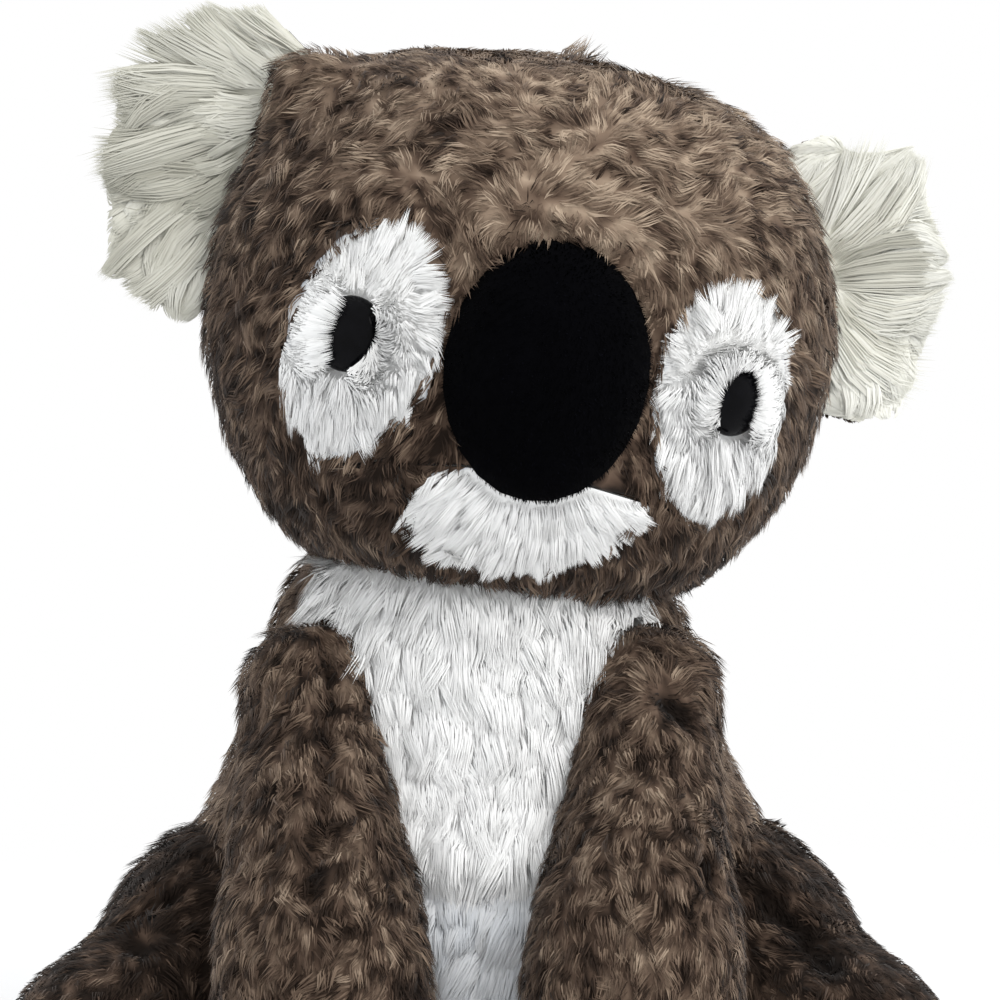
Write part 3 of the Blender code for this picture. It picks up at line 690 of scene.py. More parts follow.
class Skin:
    """A sewn skin, copied from its CAD node and rounded on its outer side."""

    def __init__(self, nodes: tuple[str, ...], core: tuple[Rows, Rows], rounds: int) -> None:
        """Copies and rounds the skin.

        Args:
            nodes: The CAD nodes that it stands for.
            core: Start and end of the line about which the form is closed.
            rounds: How often its faces are divided.
        """
        source = frame["nodes"][nodes[0]]
        obj = bpy.data.objects.new("skin_copy", source.data.copy())
        bpy.context.scene.collection.objects.link(obj)
        select_only(obj)
        bpy.ops.object.mode_set(mode="EDIT")
        bpy.ops.mesh.select_all(action="SELECT")
        bpy.ops.mesh.remove_doubles(threshold=1e-6)
        for _ in range(rounds):
            bpy.ops.mesh.select_all(action="SELECT")
            bpy.ops.mesh.subdivide(number_cuts=1)
        bpy.ops.mesh.select_all(action="SELECT")
        bpy.ops.mesh.quads_convert_to_tris()
        bpy.ops.object.mode_set(mode="OBJECT")
        self.points, self.faces = mesh_rows(obj.data)
        bpy.data.objects.remove(obj, do_unlink=True)
        self.core = core
        corners = self.points[self.faces]
        cross = np.cross(corners[:, 1] - corners[:, 0], corners[:, 2] - corners[:, 0])
        outward = self.from_core(corners.mean(axis=1))
        self.outer = np.sum(unit(cross) * unit(outward), axis=1) > 0.15
        self.loose = self.free_points()
        self.round_off(3)

    def from_core(self, points: Rows) -> Rows:
        """Directions from the core line to the points."""
        start, end = self.core
        step = end - start
        size = float(step @ step)
        share = np.clip((points - start) @ step / size, 0, 1) if size > 1e-12 else np.zeros(len(points))
        return points - start - share[:, None] * step

    def free_points(self) -> Rows:
        """Which points belong to outer faces only."""
        inner = np.zeros(len(self.points), bool)
        inner[self.faces[~self.outer].ravel()] = True
        used = np.zeros(len(self.points), bool)
        used[self.faces[self.outer].ravel()] = True
        return used & ~inner

    def round_off(self, times: int) -> None:
        """Draws free points towards their neighbours' middle, a few times."""
        pairs = np.vstack([self.faces[:, [0, 1]], self.faces[:, [1, 2]], self.faces[:, [2, 0]]])
        pairs = np.unique(np.sort(pairs, axis=1), axis=0)
        for _ in range(times):
            total = np.zeros_like(self.points)
            count = np.zeros(len(self.points))
            for a, b in ((0, 1), (1, 0)):
                np.add.at(total, pairs[:, a], self.points[pairs[:, b]])
                np.add.at(count, pairs[:, a], 1)
            middle = total / np.maximum(count, 1)[:, None]
            self.points[self.loose] += 0.5 * (middle - self.points)[self.loose]

    def normals(self) -> Rows:
        """Outward normals of the points, from outer faces only."""
        corners = self.points[self.faces[self.outer]]
        cross = np.cross(corners[:, 1] - corners[:, 0], corners[:, 2] - corners[:, 0])
        total = np.zeros_like(self.points)
        for corner in range(3):
            np.add.at(total, self.faces[self.outer][:, corner], cross)
        return unit(total)

    def press(self, marks: list, lumps: float, tufts: float, seed: int) -> None:
        """Presses creases and bulges and an uneven fill into the outer side.

        Args:
            marks: Creases, bulges and nudges.
            lumps: Metres by which the fill stands in and out.
            tufts: Metres by which the cloth does so under single tufts.
            seed: For the fill's pattern.
        """
        lift = lumps * swirl(self.points, 0.022, seed)[:, 0] + tufts * swirl(self.points, 0.007, seed)[:, 0]
        for mark in marks:
            if not isinstance(mark, Nudge):
                lift = lift + mark.relief(self.points)
        lift = np.maximum(lift, -0.0024)
        self.points[self.loose] += (self.normals() * lift[:, None])[self.loose]
        for mark in marks:
            if isinstance(mark, Nudge):
                self.points += mark.shift(self.points)
        self.points[:, 2] = np.maximum(self.points[:, 2], 0.0003)

    def area(self) -> float:
        """Square metres of the outer side."""
        corners = self.points[self.faces[self.outer]]
        return float(np.linalg.norm(np.cross(corners[:, 1] - corners[:, 0], corners[:, 2] - corners[:, 0]),
                                    axis=1).sum() / 2)

    def sow(self, count: int, seed: int) -> tuple[Rows, Rows]:
        """Spreads roots over the outer side.

        Args:
            count: How many.
            seed: For their places.

        Returns:
            Root places and the cloth's normals there.
        """
        rng = np.random.default_rng(seed)
        faces = self.faces[self.outer]
        corners = self.points[faces]
        area = np.linalg.norm(np.cross(corners[:, 1] - corners[:, 0], corners[:, 2] - corners[:, 0]), axis=1)
        edges = np.cumsum(area) / area.sum()
        picks = np.searchsorted(edges, (np.arange(count) + rng.random(count)) / count)
        picks = np.minimum(picks, len(faces) - 1)
        a, b = np.sqrt(rng.random(count)), rng.random(count)
        weights = np.stack([1 - a, a * (1 - b), a * b], axis=1)
        normals = self.normals()[faces[picks]]
        return (
            np.einsum("nk,nkd->nd", weights, corners[picks]),
            unit(np.einsum("nk,nkd->nd", weights, normals)),
        )


class Neighbours:
    """The solids round a piece, which its strands don't run into."""

    def __init__(self, nodes: list[str]) -> None:
        """Gathers the solids' faces."""
        points: list[Vector] = []
        faces: list[tuple[int, ...]] = []
        for node in nodes:
            mesh = frame["nodes"][node].data
            base = len(points)
            points += [v.co.copy() for v in mesh.vertices]
            faces += [tuple(base + i for i in p.vertices) for p in mesh.polygons]
        self.tree = BVHTree.FromPolygons(points, faces)

    def room(self, places: Rows, directions: Rows, reach: float) -> Rows:
        """Free way from each place.

        Args:
            places: Starts in metres.
            directions: Unit directions.
            reach: The furthest that is looked.

        Returns:
            Metres, at most reach.
        """
        cast = self.tree.ray_cast
        found = np.full(len(places), reach)
        for index, (place, way) in enumerate(zip(places, directions)):
            distance = cast(Vector(place), Vector(way), reach)[3]
            if distance is not None:
                found[index] = distance
        return found


@dataclass
class FurPiece:
    """One furry piece: a skin with its pile, on one body of the part.

    Attributes:
        name: Name of the piece.
        body: The body that it rides on.
        nodes: CAD nodes that it stands for, its skin first.
        slot: The record's material slot; not used.
        finish: Colour of its pile.
        pile: Cut and lie of its pile.
        core: Line about which the skin closes.
        comb: Gives the way the pile is combed.
        tone: Gives the shade of strands, from 0 to 1, by their roots.
        near: Nodes that the strands keep off.
        marks: Creases, bulges and nudges.
        hems: Nodes whose seam allowance the pile covers too, outside the guards.
        spikes: Pointed tufts of the outline.
        guards: Ovals that the strands don't cover.
        dyed: Oval outside which the cloth is dyed like the pile round it, or None.
        hood: How the pile closes over an eye, or None.
        blocks: Ovals in which none is rooted.
        lumps: Metres of unevenness of the fill.
        tufts: Metres by which the cloth rises and sinks under single tufts.
        mottle: How far dark and pale yarns change the shade.
        rounds: Divisions of the skin's faces.
        stub: Shortest strand that is left beside a neighbour.
        seed: For all that is random in it.
        fill: How tightly it is stuffed; not used.
        mixed: Spread of the shade from strand to strand.
        stretch: Gives a share of the length by root, or None.
        stand: Gives degrees by which strands stand up more, by root, or None.
    """

    name: str
    body: str
    nodes: tuple[str, ...]
    slot: str
    finish: PileFinish
    pile: Pile
    core: tuple[Rows, Rows]
    comb: Comb
    tone: Tone
    near: tuple[str, ...] = ()
    marks: list = field(default_factory=list)
    hems: tuple[str, ...] = ()
    spikes: tuple[Spike, ...] = ()
    guards: list[Guard] = field(default_factory=list)
    dyed: Guard | None = None
    hood: Hood | None = None
    blocks: list[Guard] = field(default_factory=list)
    lumps: float = 0.0010
    tufts: float = 0.0004
    mottle: float = 0.0
    rounds: int = 1
    stub: float = 0.0018
    seed: int = 1
    fill: float = 0.85
    mixed: float = 0.2
    stretch: Tone | None = None
    stand: Tone | None = None

    def shadow(self, points: Rows) -> Rows:
        """Painted shade of the creases: one in a crease, falling to nothing beside it."""
        rows = np.zeros(len(points))
        for mark in self.marks:
            if isinstance(mark, Crease):
                rows = np.maximum(rows, mark.near(points) * mark.shade / 0.3)
        return rows.clip(0, 1)

    def build(self) -> bpy.types.Object:
        """Returns:
            The finished object.
        """
        skin = Skin(self.nodes, self.core, self.rounds)
        skin.press(self.marks, self.lumps, self.tufts, self.seed)
        points, faces, corner_uv, nap = self.grow(skin)
        shade = np.clip(self.tone(skin.points) + melange(skin.points, self.mottle), 0.10, 0.99)
        # Painted shade darkens the cloth in the creases.
        shade = np.maximum(shade * (1 - self.shadow(skin.points)), 0.01)
        if self.dyed:
            shade = np.where(np.linalg.norm(self.dyed.flat(skin.points), axis=1) > 1, 0.01, shade)
        base_uv = np.stack([shade[skin.faces.ravel()], np.zeros(len(skin.faces) * 3)], axis=1)
        piece = mesh_object(
            self.name,
            np.vstack([skin.points, points]),
            np.vstack([skin.faces, faces + len(skin.points)]),
            np.vstack([base_uv, corner_uv]),
            np.vstack([skin.normals()[skin.faces.ravel()], nap]),
        )
        piece.data.materials.append(self.finish.material())
        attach(piece, self.body)
        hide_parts(*self.nodes)
        LOG.info("%s: %d faces", self.name, len(piece.data.polygons))
        return piece

    def grow(self, skin: Skin) -> tuple[Rows, Rows, Rows, Rows]:
        """Plants, combs, trims and copies the strands.

        Args:
            skin: The pressed skin.

        Returns:
            Points, faces, the map's corners and the corners' nap of all strands.
        """
        pile = self.pile
        rng = np.random.default_rng(self.seed)
        roots, normals = skin.sow(pile.strands, self.seed + 11)
        for index, node in enumerate(self.hems):
            hem = Skin((node,), self.core, 1)
            more = hem.sow(int(1.3 * pile.strands * hem.area() / skin.area()), self.seed + 12 + index)
            roots, normals = np.vstack([roots, more[0]]), np.vstack([normals, more[1]])
        count = len(roots)
        on_hem = np.arange(count) >= pile.strands
        lock_size = max(1, count // pile.lock)
        heads = rng.choice(count, lock_size, replace=False)
        tree = kdtree.KDTree(lock_size)
        for index, head in enumerate(heads):
            tree.insert(Vector(roots[head]), index)
        tree.balance()
        owner = np.array([tree.find(Vector(p))[1] for p in roots])

        beside = roots - roots[heads][owner]
        breadth = 1.4 * float(np.median(np.linalg.norm(beside, axis=1))) + 1e-6
        rounded = unit(normals + 0.35 * beside / breadth)

        combed = along_cloth(self.comb(roots, normals), normals)
        twist = 1.7 * swirl(roots, 0.008, self.seed)[:, 0] + 0.4 * rng.normal(size=lock_size)[owner]
        twist = np.radians(pile.tousle) * (twist + 0.15 * rng.normal(size=count))
        ways = turned(combed, normals, twist)
        lift_noise = pile.loose * (rng.normal(size=lock_size)[owner] + 0.7 * rng.normal(size=count))
        if self.stand:
            lift_noise = lift_noise + self.stand(roots)
        lay = np.radians(np.clip(pile.lay + lift_noise, 4, 80))[:, None]
        rise = np.radians(np.clip(pile.rise + lift_noise, 15, 88))[:, None]
        bend = (pile.curl * rng.normal(size=lock_size)[owner])[:, None]
        length = pile.length * (1 - pile.uneven * rng.random(count)) * (
            1 + pile.spread * rng.normal(size=lock_size)[owner].clip(-1.5, 1.8))
        if self.stretch:
            length = length * self.stretch(roots)
        # Painted shade of the creases; it also shortens the strands there.
        creased = self.shadow(roots)
        length = length * (1 - 0.35 * creased)

        reach = length[:, None] * (np.sin(lay) * normals + np.cos(lay) * ways)
        tips = roots + reach
        lead = roots[heads][owner] + reach[heads][owner]
        pull = (pile.gather * (0.55 + 0.45 * rng.random(count)))[:, None]
        tips = tips + pull * (lead + 0.22 * beside - tips)
        for spike in self.spikes:
            tips = spike.draw(tips)

        share = np.ones(count)
        for guard in self.guards:
            share = np.minimum(share, guard.share(roots, tips))
        for block in self.blocks:
            share = np.where(block.share(roots, roots + 1e-6) == 0, 0.0, share)
        if self.near:
            around = Neighbours(list(self.near))
            full = np.linalg.norm(tips - roots, axis=1)
            ahead = unit(tips - roots)
            free = around.room(roots + 0.0002 * normals, ahead, float(full.max()))
            above = around.room(roots + 0.0002 * normals, normals, pile.length)
            free = np.minimum(free, np.where(above < pile.length, above * 1.6, free))
            room = np.minimum(share, np.maximum((free - 0.0003) / full, self.stub / full))
            share = np.where(on_hem, share, np.where(above < 0.0008, 0.0, room))
        down = (roots[:, 2] - 0.0004) / np.maximum(roots[:, 2] - tips[:, 2], 1e-6)
        share = np.where(tips[:, 2] < 0.0004, np.clip(down, 0.0, 1.0) * share, share)
        kept = share * length > 0.0010
        tips = roots + share[:, None] * (tips - roots)
        span = np.linalg.norm(tips - roots, axis=1, keepdims=True)
        middle = roots + 0.5 * span * (np.sin(rise) * normals + np.cos(rise) * ways)
        middle = middle + 0.5 * bend * span * np.cross(normals, ways)
        if self.hood:
            middle, tips = self.hood.drape(roots, normals, middle, tips, 0.0014 * rng.random(count))
        middle[:, 2] = np.maximum(middle[:, 2], 0.0006)
        start = roots - 0.0005 * normals
        start[:, 2] = np.maximum(start[:, 2], 0.0004)

        tone = self.tone(roots) + melange(0.6 * roots + 0.4 * tips, self.mottle)
        tone = tone + self.mixed * (0.4 * rng.normal(size=count) + 0.6 * rng.normal(size=lock_size)[owner])
        # Painted shade darkens the strands whose outer parts lie over a crease.
        creased = np.maximum(creased, self.shadow(0.35 * roots + 0.65 * tips))
        tone = np.clip(np.clip(tone, 0.12, 0.99) * (1 - creased), 0.01 + 0.08 * (self.dyed is not None), 0.99)
        width = pile.width * (0.7 + 0.6 * rng.random(count)) * (0.55 + 0.45 * np.minimum(share, 1))
        return self.stamp(*(rows[kept] for rows in (start, middle, tips, width, tone, normals, rounded)))

    def stamp(self, start: Rows, middle: Rows, tips: Rows, width: Rows, tone: Rows,
              normals: Rows, rounded: Rows) -> tuple[Rows, Rows, Rows, Rows]:
        """Copies the strand along every curve.

        Args:
            start: Buried roots.
            middle: Points that each curve bends towards.
            tips: Ends.
            width: Metres across each strand.
            tone: Shade of each strand.
            normals: The cloth's outward directions.
            rounded: The same, turned out to each lock's sides.

        Returns:
            Points, faces, the map's corners and the corners' nap, which the strands' undersides turn round.
        """
        strand = STRANDS[self.pile.cut]
        t = strand.points[:, 2][None, :, None]
        line = (1 - t) ** 2 * start[:, None] + 2 * t * (1 - t) * middle[:, None] + t**2 * tips[:, None]
        axis = unit(tips - start)
        upward = unit(normals - axis * np.sum(normals * axis, axis=1, keepdims=True) + 1e-6)
        spin = np.radians(14) * np.random.default_rng(self.seed + 5).normal(size=len(start))
        upward = turned(upward, axis, spin)
        across = np.cross(upward, axis)
        half = (width / 2)[:, None, None]
        x, y = strand.points[:, 0][None, :, None], self.pile.flat * strand.points[:, 1][None, :, None]
        radial = x * across[:, None] + y * upward[:, None]
        points = line + half * radial
        nap = self.finish.soft * rounded[:, None] + (1 - self.finish.soft) * (radial + 0.3 * axis[:, None])
        points[:, :, 2] = np.maximum(points[:, :, 2], 0.0002)
        count, each = len(start), len(strand.points)
        faces = (np.arange(count) * each)[:, None, None] + strand.faces[None]
        corners = strand.points[strand.faces.ravel()]
        corner_u = np.clip(tone[:, None] + self.finish.streak * corners[:, 0][None], 0.01, 0.99)
        uv = np.stack([corner_u.ravel(), np.tile(corners[:, 2], count)], axis=1)
        ends = strand.points[strand.faces]
        under = unit(np.cross(ends[:, 1] - ends[:, 0], ends[:, 2] - ends[:, 0]))[:, 1] < -0.5
        nap = nap[:, strand.faces] * np.where(under, -1.0, 1.0)[None, :, None, None]
        nap = nap + np.where(under[:, None], [0.0, 0.0, 0.8], 0.0)[None, :, None, :]
        return points.reshape(-1, 3), faces.reshape(-1, 3), uv, unit(nap.reshape(-1, 3))


# ---------------------------------------------------------------- the toy


def falling(points: Rows, _normals: Rows) -> Rows:
    """Pile combed straight down, with a slow wander."""
    return np.array([0.0, 0.0, -1.0]) + 0.45 * swirl(points, 0.03, 3)


def plain_tone(level: float, spread: float = 0.1, size: float = 0.012) -> Tone:
    """A shade that wanders slowly over the cloth.

    Args:
        level: Middle shade.
        spread: How far it wanders.
        size: Metres over which it changes.

    Returns:
        The tone as a function of root places.
    """
    return lambda points: level + spread * swirl(points, size, 9)[:, 1]


HEAD_NODES = ("muzzle_patch", "nose_cover", "eye_patch_left", "eye_patch_right", "ear_front_left",
              "ear_front_right", "ear_back_left", "ear_back_right")


@dataclass
class Head:
    """The big round head: brown pile, white patches, velour nose, eyes and ears."""

    frame: HeadFrame = HEAD
    eye_places: tuple[tuple[float, float], ...] = ((-0.0455, -0.010), (0.0455, -0.010))
    eye_openings: tuple[tuple[float, float], ...] = ((-0.0452, -0.0094), (0.0462, -0.0120))
    eye_half: tuple[tuple[float, float], ...] = ((0.0040, 0.0090), (0.0041, 0.0082))
    eye_tilt: tuple[float, float] = (math.radians(8), math.radians(7))
    eye_radius: float = 0.009
    eye_dome: float = 0.0048
    shank_radius: float = 0.003
    shank_length: float = 0.013
    patch_middles: tuple[tuple[float, float], ...] = ((-0.0423, -0.0108), (0.0440, -0.0110))
    patch_half: tuple[tuple[float, float], ...] = ((0.0156, 0.0275), (0.0168, 0.0276))
    patch_tilt: tuple[float, float] = (math.radians(14), math.radians(-2))
    muzzle_middle: tuple[float, float] = (0.0015, -0.0438)
    muzzle_half: tuple[float, float] = (0.0280, 0.0146)
    muzzle_tilt: float = math.radians(-15.0)
    tuft_place: tuple[float, float] = (0.0240, -0.008)
    knob_place: tuple[float, float, float] = (-0.0400, -0.022, 0.2615)
    knob_radius: float = 0.0095
    nose_middle: tuple[float, float] = (0.0, -0.0111)
    nose_half: tuple[float, float] = (0.0240, 0.0300)

    def core(self) -> tuple[Rows, Rows]:
        """A short line through the head's middle."""
        return self.frame.world(np.array([-0.012, 0.0, 0.0])), self.frame.world(np.array([0.012, 0.0, 0.0]))

    def hood(self, side: Side) -> Hood:
        """How the white pile closes over one eye."""
        index = int(side is Side.RIGHT)
        opening = Guard(self.frame, self.eye_openings[index], self.eye_half[index], tilt=self.eye_tilt[index])
        return Hood(self.eye_places[index], self.eye_radius, self.eye_dome + 0.0024, opening)

    def dome_guards(self) -> list[Guard]:
        """Rings under the eyes, where no strand is rooted."""
        half = self.eye_radius - 0.0006
        return [Guard(self.frame, place, (half, half)) for place in self.eye_places]

    def patch_guards(self, grow: float = 0.0, hold: Hold = Hold.OUT, ragged: float = 0.0) -> list[Guard]:
        """Ovals over both white patches, or round them."""
        return [Guard(self.frame, middle, (half[0] + grow, half[1] + grow), hold=hold, tilt=tilt, ragged=ragged)
                for middle, half, tilt in zip(self.patch_middles, self.patch_half, self.patch_tilt)]

    def from_eye(self, points: Rows) -> tuple[Rows, Rows]:
        """How a place lies from the nearer eye.

        Args:
            points: Places in metres.

        Returns:
            Way from the eye in the head's own directions, and metres from it.
        """
        own = self.frame.local(points)
        places = np.array(self.eye_places)[(own[:, 0] > 0).astype(int)]
        way = np.stack([own[:, 0] - places[:, 0], 0 * own[:, 0], own[:, 2] - places[:, 1]], axis=1)
        far = np.linalg.norm(way, axis=1)
        return way / np.maximum(far, 1e-6)[:, None], far

    def stand_patch(self, points: Rows) -> Rows:
        """Degrees by which the pile stands up beside the eyes."""
        far = self.from_eye(points)[1]
        return 20 * np.exp(-((np.maximum(far - self.eye_radius, 0) / 0.0045) ** 2))

    def nose_guard(self, grow: float = 0.0, ragged: float = 0.0) -> Guard:
        """An oval over the nose."""
        half = (self.nose_half[0] + grow, self.nose_half[1] + grow)
        return Guard(self.frame, self.nose_middle, half, ragged=ragged)

    def above_nose(self, points: Rows) -> Rows:
        """One beside the nose's upper edge, falling to nothing away from it."""
        own = self.frame.local(points)
        edge = np.linalg.norm((own[:, [0, 2]] - self.nose_middle) / self.nose_half, axis=1) - 1
        upper = np.clip((own[:, 2] + 0.006) / 0.010, 0, 1) * (own[:, 1] < -0.02)
        return upper * np.exp(-((np.maximum(edge, 0) / 0.22) ** 2))

    def stand_head(self, points: Rows) -> Rows:
        """Degrees by which the brown pile stands up: at the nose, on the crown's tuft and in the left ear's knob."""
        return 36 * self.above_nose(points) + 24 * self.knob(points) + 50 * self.tuft(points)

    def tuft(self, points: Rows) -> Rows:
        """One in the tuft on the crown, falling to nothing beside it."""
        away = (points[:, :2] - self.tuft_place) / (0.0045, 0.008)
        return np.exp(-np.sum(away * away, axis=1)) * (points[:, 2] > self.frame.middle[2] + 0.04)

    def knob(self, points: Rows) -> Rows:
        """One in the brown knob that leans on the left ear, falling to nothing beside it."""
        return np.exp(-((np.linalg.norm(points - np.array(self.knob_place), axis=1) / self.knob_radius) ** 2))

    def muzzle_guard(self, grow: float = 0.0, hold: Hold = Hold.OUT, ragged: float = 0.002) -> Guard:
        """An oval over the white muzzle, or round it."""
        half = (self.muzzle_half[0] + grow, self.muzzle_half[1] + grow)
        return Guard(self.frame, self.muzzle_middle, half, hold=hold, tilt=self.muzzle_tilt, ragged=ragged)

    def comb_head(self, points: Rows, _normals: Rows) -> Rows:
        """Away from the nose's bridge on the brow, and down at the sides and back."""
        own = self.frame.local(points)
        away = unit(np.stack([own[:, 0], 0 * own[:, 0], own[:, 2] - 0.004], axis=1)) @ self.frame.matrix.T
        front = np.clip(-own[:, 1] / 0.05, 0, 1)[:, None]
        top = np.clip(own[:, 2] / 0.05, 0, 1)[:, None]
        down = np.array([0.0, 0.15, -1.0])
        way = 0.75 * away * front + down * (1.0 - 0.75 * top * front) + 0.75 * swirl(points, 0.017, 4)
        inward = np.stack([self.nose_middle[0] - own[:, 0], 0 * own[:, 0], self.nose_middle[1] - own[:, 2]], axis=1)
        over = self.above_nose(points)[:, None]
        way = way * (1 - over) + 1.2 * over * (unit(inward) @ self.frame.matrix.T + 0.4 * swirl(points, 0.006, 19))
        place = np.array(self.patch_middles)[(own[:, 0] > 0).astype(int)]
        across, up = own[:, 0] - place[:, 0], own[:, 2] - place[:, 1]
        brow = np.exp(-((across / 0.020) ** 2) - ((up - 0.030) / 0.007) ** 2) * (own[:, 1] < 0)
        way = way * (1 - brow[:, None]) + brow[:, None] * self.frame.aim(0.0, 0.0, -1.0)
        knob = self.knob(points)[:, None]
        return way * (1 - knob) + knob * np.array([-1.2, -0.4, 0.7])

    def crown(self, points: Rows) -> Rows:
        """Shorter pile on the crown's left half, a tuft right of its middle and the knob at the left ear."""
        own = self.frame.local(points)
        top = np.clip((own[:, 2] - 0.045) / 0.015, 0, 1)
        left = np.clip((0.020 - own[:, 0]) / 0.03, 0, 1)
        longer = 0.6 * self.tuft(points) + 0.6 * self.knob(points) + 0.35 * self.above_nose(points)
        return 1 - 0.45 * top * left + longer

    def tone_head(self, points: Rows) -> Rows:
        """Paler taupe towards the crown and painted shade towards the chin, painted shade on the head's left side
        away from the light, and paler on the brow between the patches, so darker beside them.
        """
        own = self.frame.local(points)
        # Painted shade: darker towards the chin and on the head's left side, away from the light.
        level = 0.40 + 0.18 * np.clip(own[:, 2] / 0.06, -0.7, 1) - 0.05 * np.clip(-own[:, 0] / 0.05, -1, 1)
        level += 0.16 * np.exp(-((own[:, 0] / 0.03) ** 2 + ((own[:, 2] - 0.028) / 0.02) ** 2))
        return level + 0.12 * swirl(points, 0.010, 5)[:, 0]

    def comb_patch(self, points: Rows, _normals: Rows) -> Rows:
        """White pile that spreads from the eye and falls."""
        out = self.from_eye(points)[0]
        fall = np.clip(0.75 - 0.75 * out[:, 2], 0.1, 1.2)[:, None]
        way = 0.9 * out @ self.frame.matrix.T + fall * np.array([0.0, 0.0, -1.0])
        return way + 0.3 * swirl(points, 0.009, 6)

    def comb_muzzle(self, points: Rows, _normals: Rows) -> Rows:
        """White pile that fans out and down from the nose's lower edge."""
        own = self.frame.local(points)
        fan = np.stack([own[:, 0], 0 * own[:, 0], own[:, 2] + 0.026], axis=1)
        return fan @ self.frame.matrix.T / 0.02 + np.array([0.0, 0.0, -0.25]) + 0.3 * swirl(points, 0.008, 7)

    def comb_nose(self, points: Rows, _normals: Rows) -> Rows:
        """Short velour brushed down."""
        return np.array([0.0, 0.0, -1.0]) + 0.8 * swirl(points, 0.006, 8)

    def pieces(self) -> list[FurPiece]:
        """The head's furry pieces."""
        brown = Pile(Cut.FUZZ, 0.0062, 0.00044, 56000, rise=50, lay=19, lock=10, gather=0.5, tousle=42, uneven=0.4)
        white = Pile(Cut.FUZZ, 0.0100, 0.00036, 13000, rise=46, lay=17, lock=36, gather=0.4, tousle=14, loose=3)
        made = [
            FurPiece(
                "head_fur", "head", ("head_skin",), "brown_plush", BROWN_PILE, brown, self.core(),
                self.comb_head, self.tone_head,
                near=("body_skin", "belly_panel", "arm_skin_left", "arm_skin_right", *HEAD_NODES),
                marks=[Bulge(self.knob_place, 0.010, 0.0095)],
                hems=("eye_patch_left", "eye_patch_right", "muzzle_patch"),
                guards=[*self.patch_guards(ragged=0.0025), self.nose_guard(-0.0050, ragged=0.006),
                        self.muzzle_guard(-0.0022, ragged=0.004)],
                stretch=self.crown, stand=self.stand_head, rounds=2, seed=21, mixed=0.08, mottle=0.48,
            ),
            FurPiece(
                "muzzle_fur", "head", ("muzzle_patch",), "white_plush", WHITE_PILE,
                Pile(Cut.FUZZ, 0.0100, 0.00036, 12000, rise=42, lay=14, lock=36, gather=0.4, tousle=12, loose=3),
                self.core(), self.comb_muzzle, plain_tone(0.78), near=("nose_cover", "belly_panel", "body_skin"),
                guards=[self.nose_guard(0.0002), self.muzzle_guard(0.0005, Hold.IN, 0.004)], dyed=self.muzzle_guard(-0.0012),
                lumps=0.0006, seed=22, mixed=0.06,
            ),
        ]
        for side in Side:
            made.append(
                FurPiece(
                    f"eye_patch_fur_{side.word}", "head", (f"eye_patch_{side.word}",), "white_plush", WHITE_PILE,
                    white, self.core(), self.comb_patch, plain_tone(0.78), near=("nose_cover",),
                    guards=[self.patch_guards(0.0005, Hold.IN, 0.005)[side is Side.RIGHT]],
                    hood=self.hood(side), dyed=self.patch_guards()[side is Side.RIGHT],
                    blocks=self.dome_guards(), stand=self.stand_patch, lumps=0.0006, seed=24 + side.value, mixed=0.06,
                )
            )
        made.append(
            FurPiece(
                "nose_fur", "head", ("nose_cover",), "black_velour", BLACK_VELOUR,
                Pile(Cut.FUZZ, 0.0013, 0.00030, 9000, rise=75, lay=55, lock=1, gather=0.0, tousle=40),
                (self.frame.world(np.array([0.0, -0.045, -0.011])),) * 2, self.comb_nose, plain_tone(0.4, 0.2),
                lumps=0.0002, rounds=1, seed=27, mixed=0.3, fill=0.95,
            )
        )
        return made

    def build_eye(self, side: Side) -> bpy.types.Object:
        """One polished safety eye with its shank.

        Args:
            side: Which eye.

        Returns:
            The finished object.
        """
        mesh = frame["nodes"][f"eye_{side.word}"].data
        back = max(mesh.polygons, key=lambda face: float(self.frame.local(np.array([face.center]))[0, 1]))
        level = [face for face in mesh.polygons if face.normal.dot(back.normal) > 0.999
                 and abs((face.center - back.center).dot(back.normal)) < 1e-4]
        ends = {tuple(mesh.vertices[i].co) for face in level for i in face.vertices}
        end = sum((Vector(p) for p in ends), Vector()) / len(ends)
        axis = -back.normal.normalized()
        bpy.ops.object.select_all(action="DESELECT")
        bpy.ops.mesh.primitive_uv_sphere_add(segments=48, ring_count=24, radius=self.eye_radius)
        eye = bpy.context.object
        eye.name = f"eye_dome_{side.word}"
        bpy.ops.object.mode_set(mode="EDIT")
        bpy.ops.mesh.select_all(action="SELECT")
        bpy.ops.mesh.bisect(plane_co=(0, 0, 0), plane_no=(0, 0, 1), use_fill=True, clear_inner=True)
        bpy.ops.mesh.inset(thickness=self.eye_radius - self.shank_radius)
        bpy.ops.mesh.extrude_region_move(TRANSFORM_OT_translate={"value": (0, 0, -self.shank_length)})
        bpy.ops.object.mode_set(mode="OBJECT")
        for vertex in eye.data.vertices:
            if vertex.co.z > 0:
                vertex.co.z *= self.eye_dome / self.eye_radius
        select_only(eye)
        edge = eye.modifiers.new("rim", "BEVEL")
        edge.width = 0.0005
        edge.segments = 3
        edge.limit_method = "ANGLE"
        edge.angle_limit = math.radians(50)
        bpy.ops.object.modifier_apply(modifier=edge.name)
        turn = axis.to_track_quat("Z", "Y").to_matrix().to_4x4()
        eye.matrix_world = Matrix.Translation(end + axis * self.shank_length) @ turn
        bpy.context.view_layer.update()
        bpy.ops.object.transform_apply(location=True, rotation=True, scale=True)
        bpy.ops.object.shade_smooth_by_angle(angle=math.radians(40))
        eye.data.materials.clear()
        eye.data.materials.append(EYE_PLASTIC.material())
        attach(eye, "head")
        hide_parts(f"eye_{side.word}")
        LOG.info("%s: polished dome", eye.name)
        return eye

    def build(self) -> None:
        """Builds the head and its face."""
        for piece in self.pieces():
            piece.build()
        for side in Side:
            self.build_eye(side)


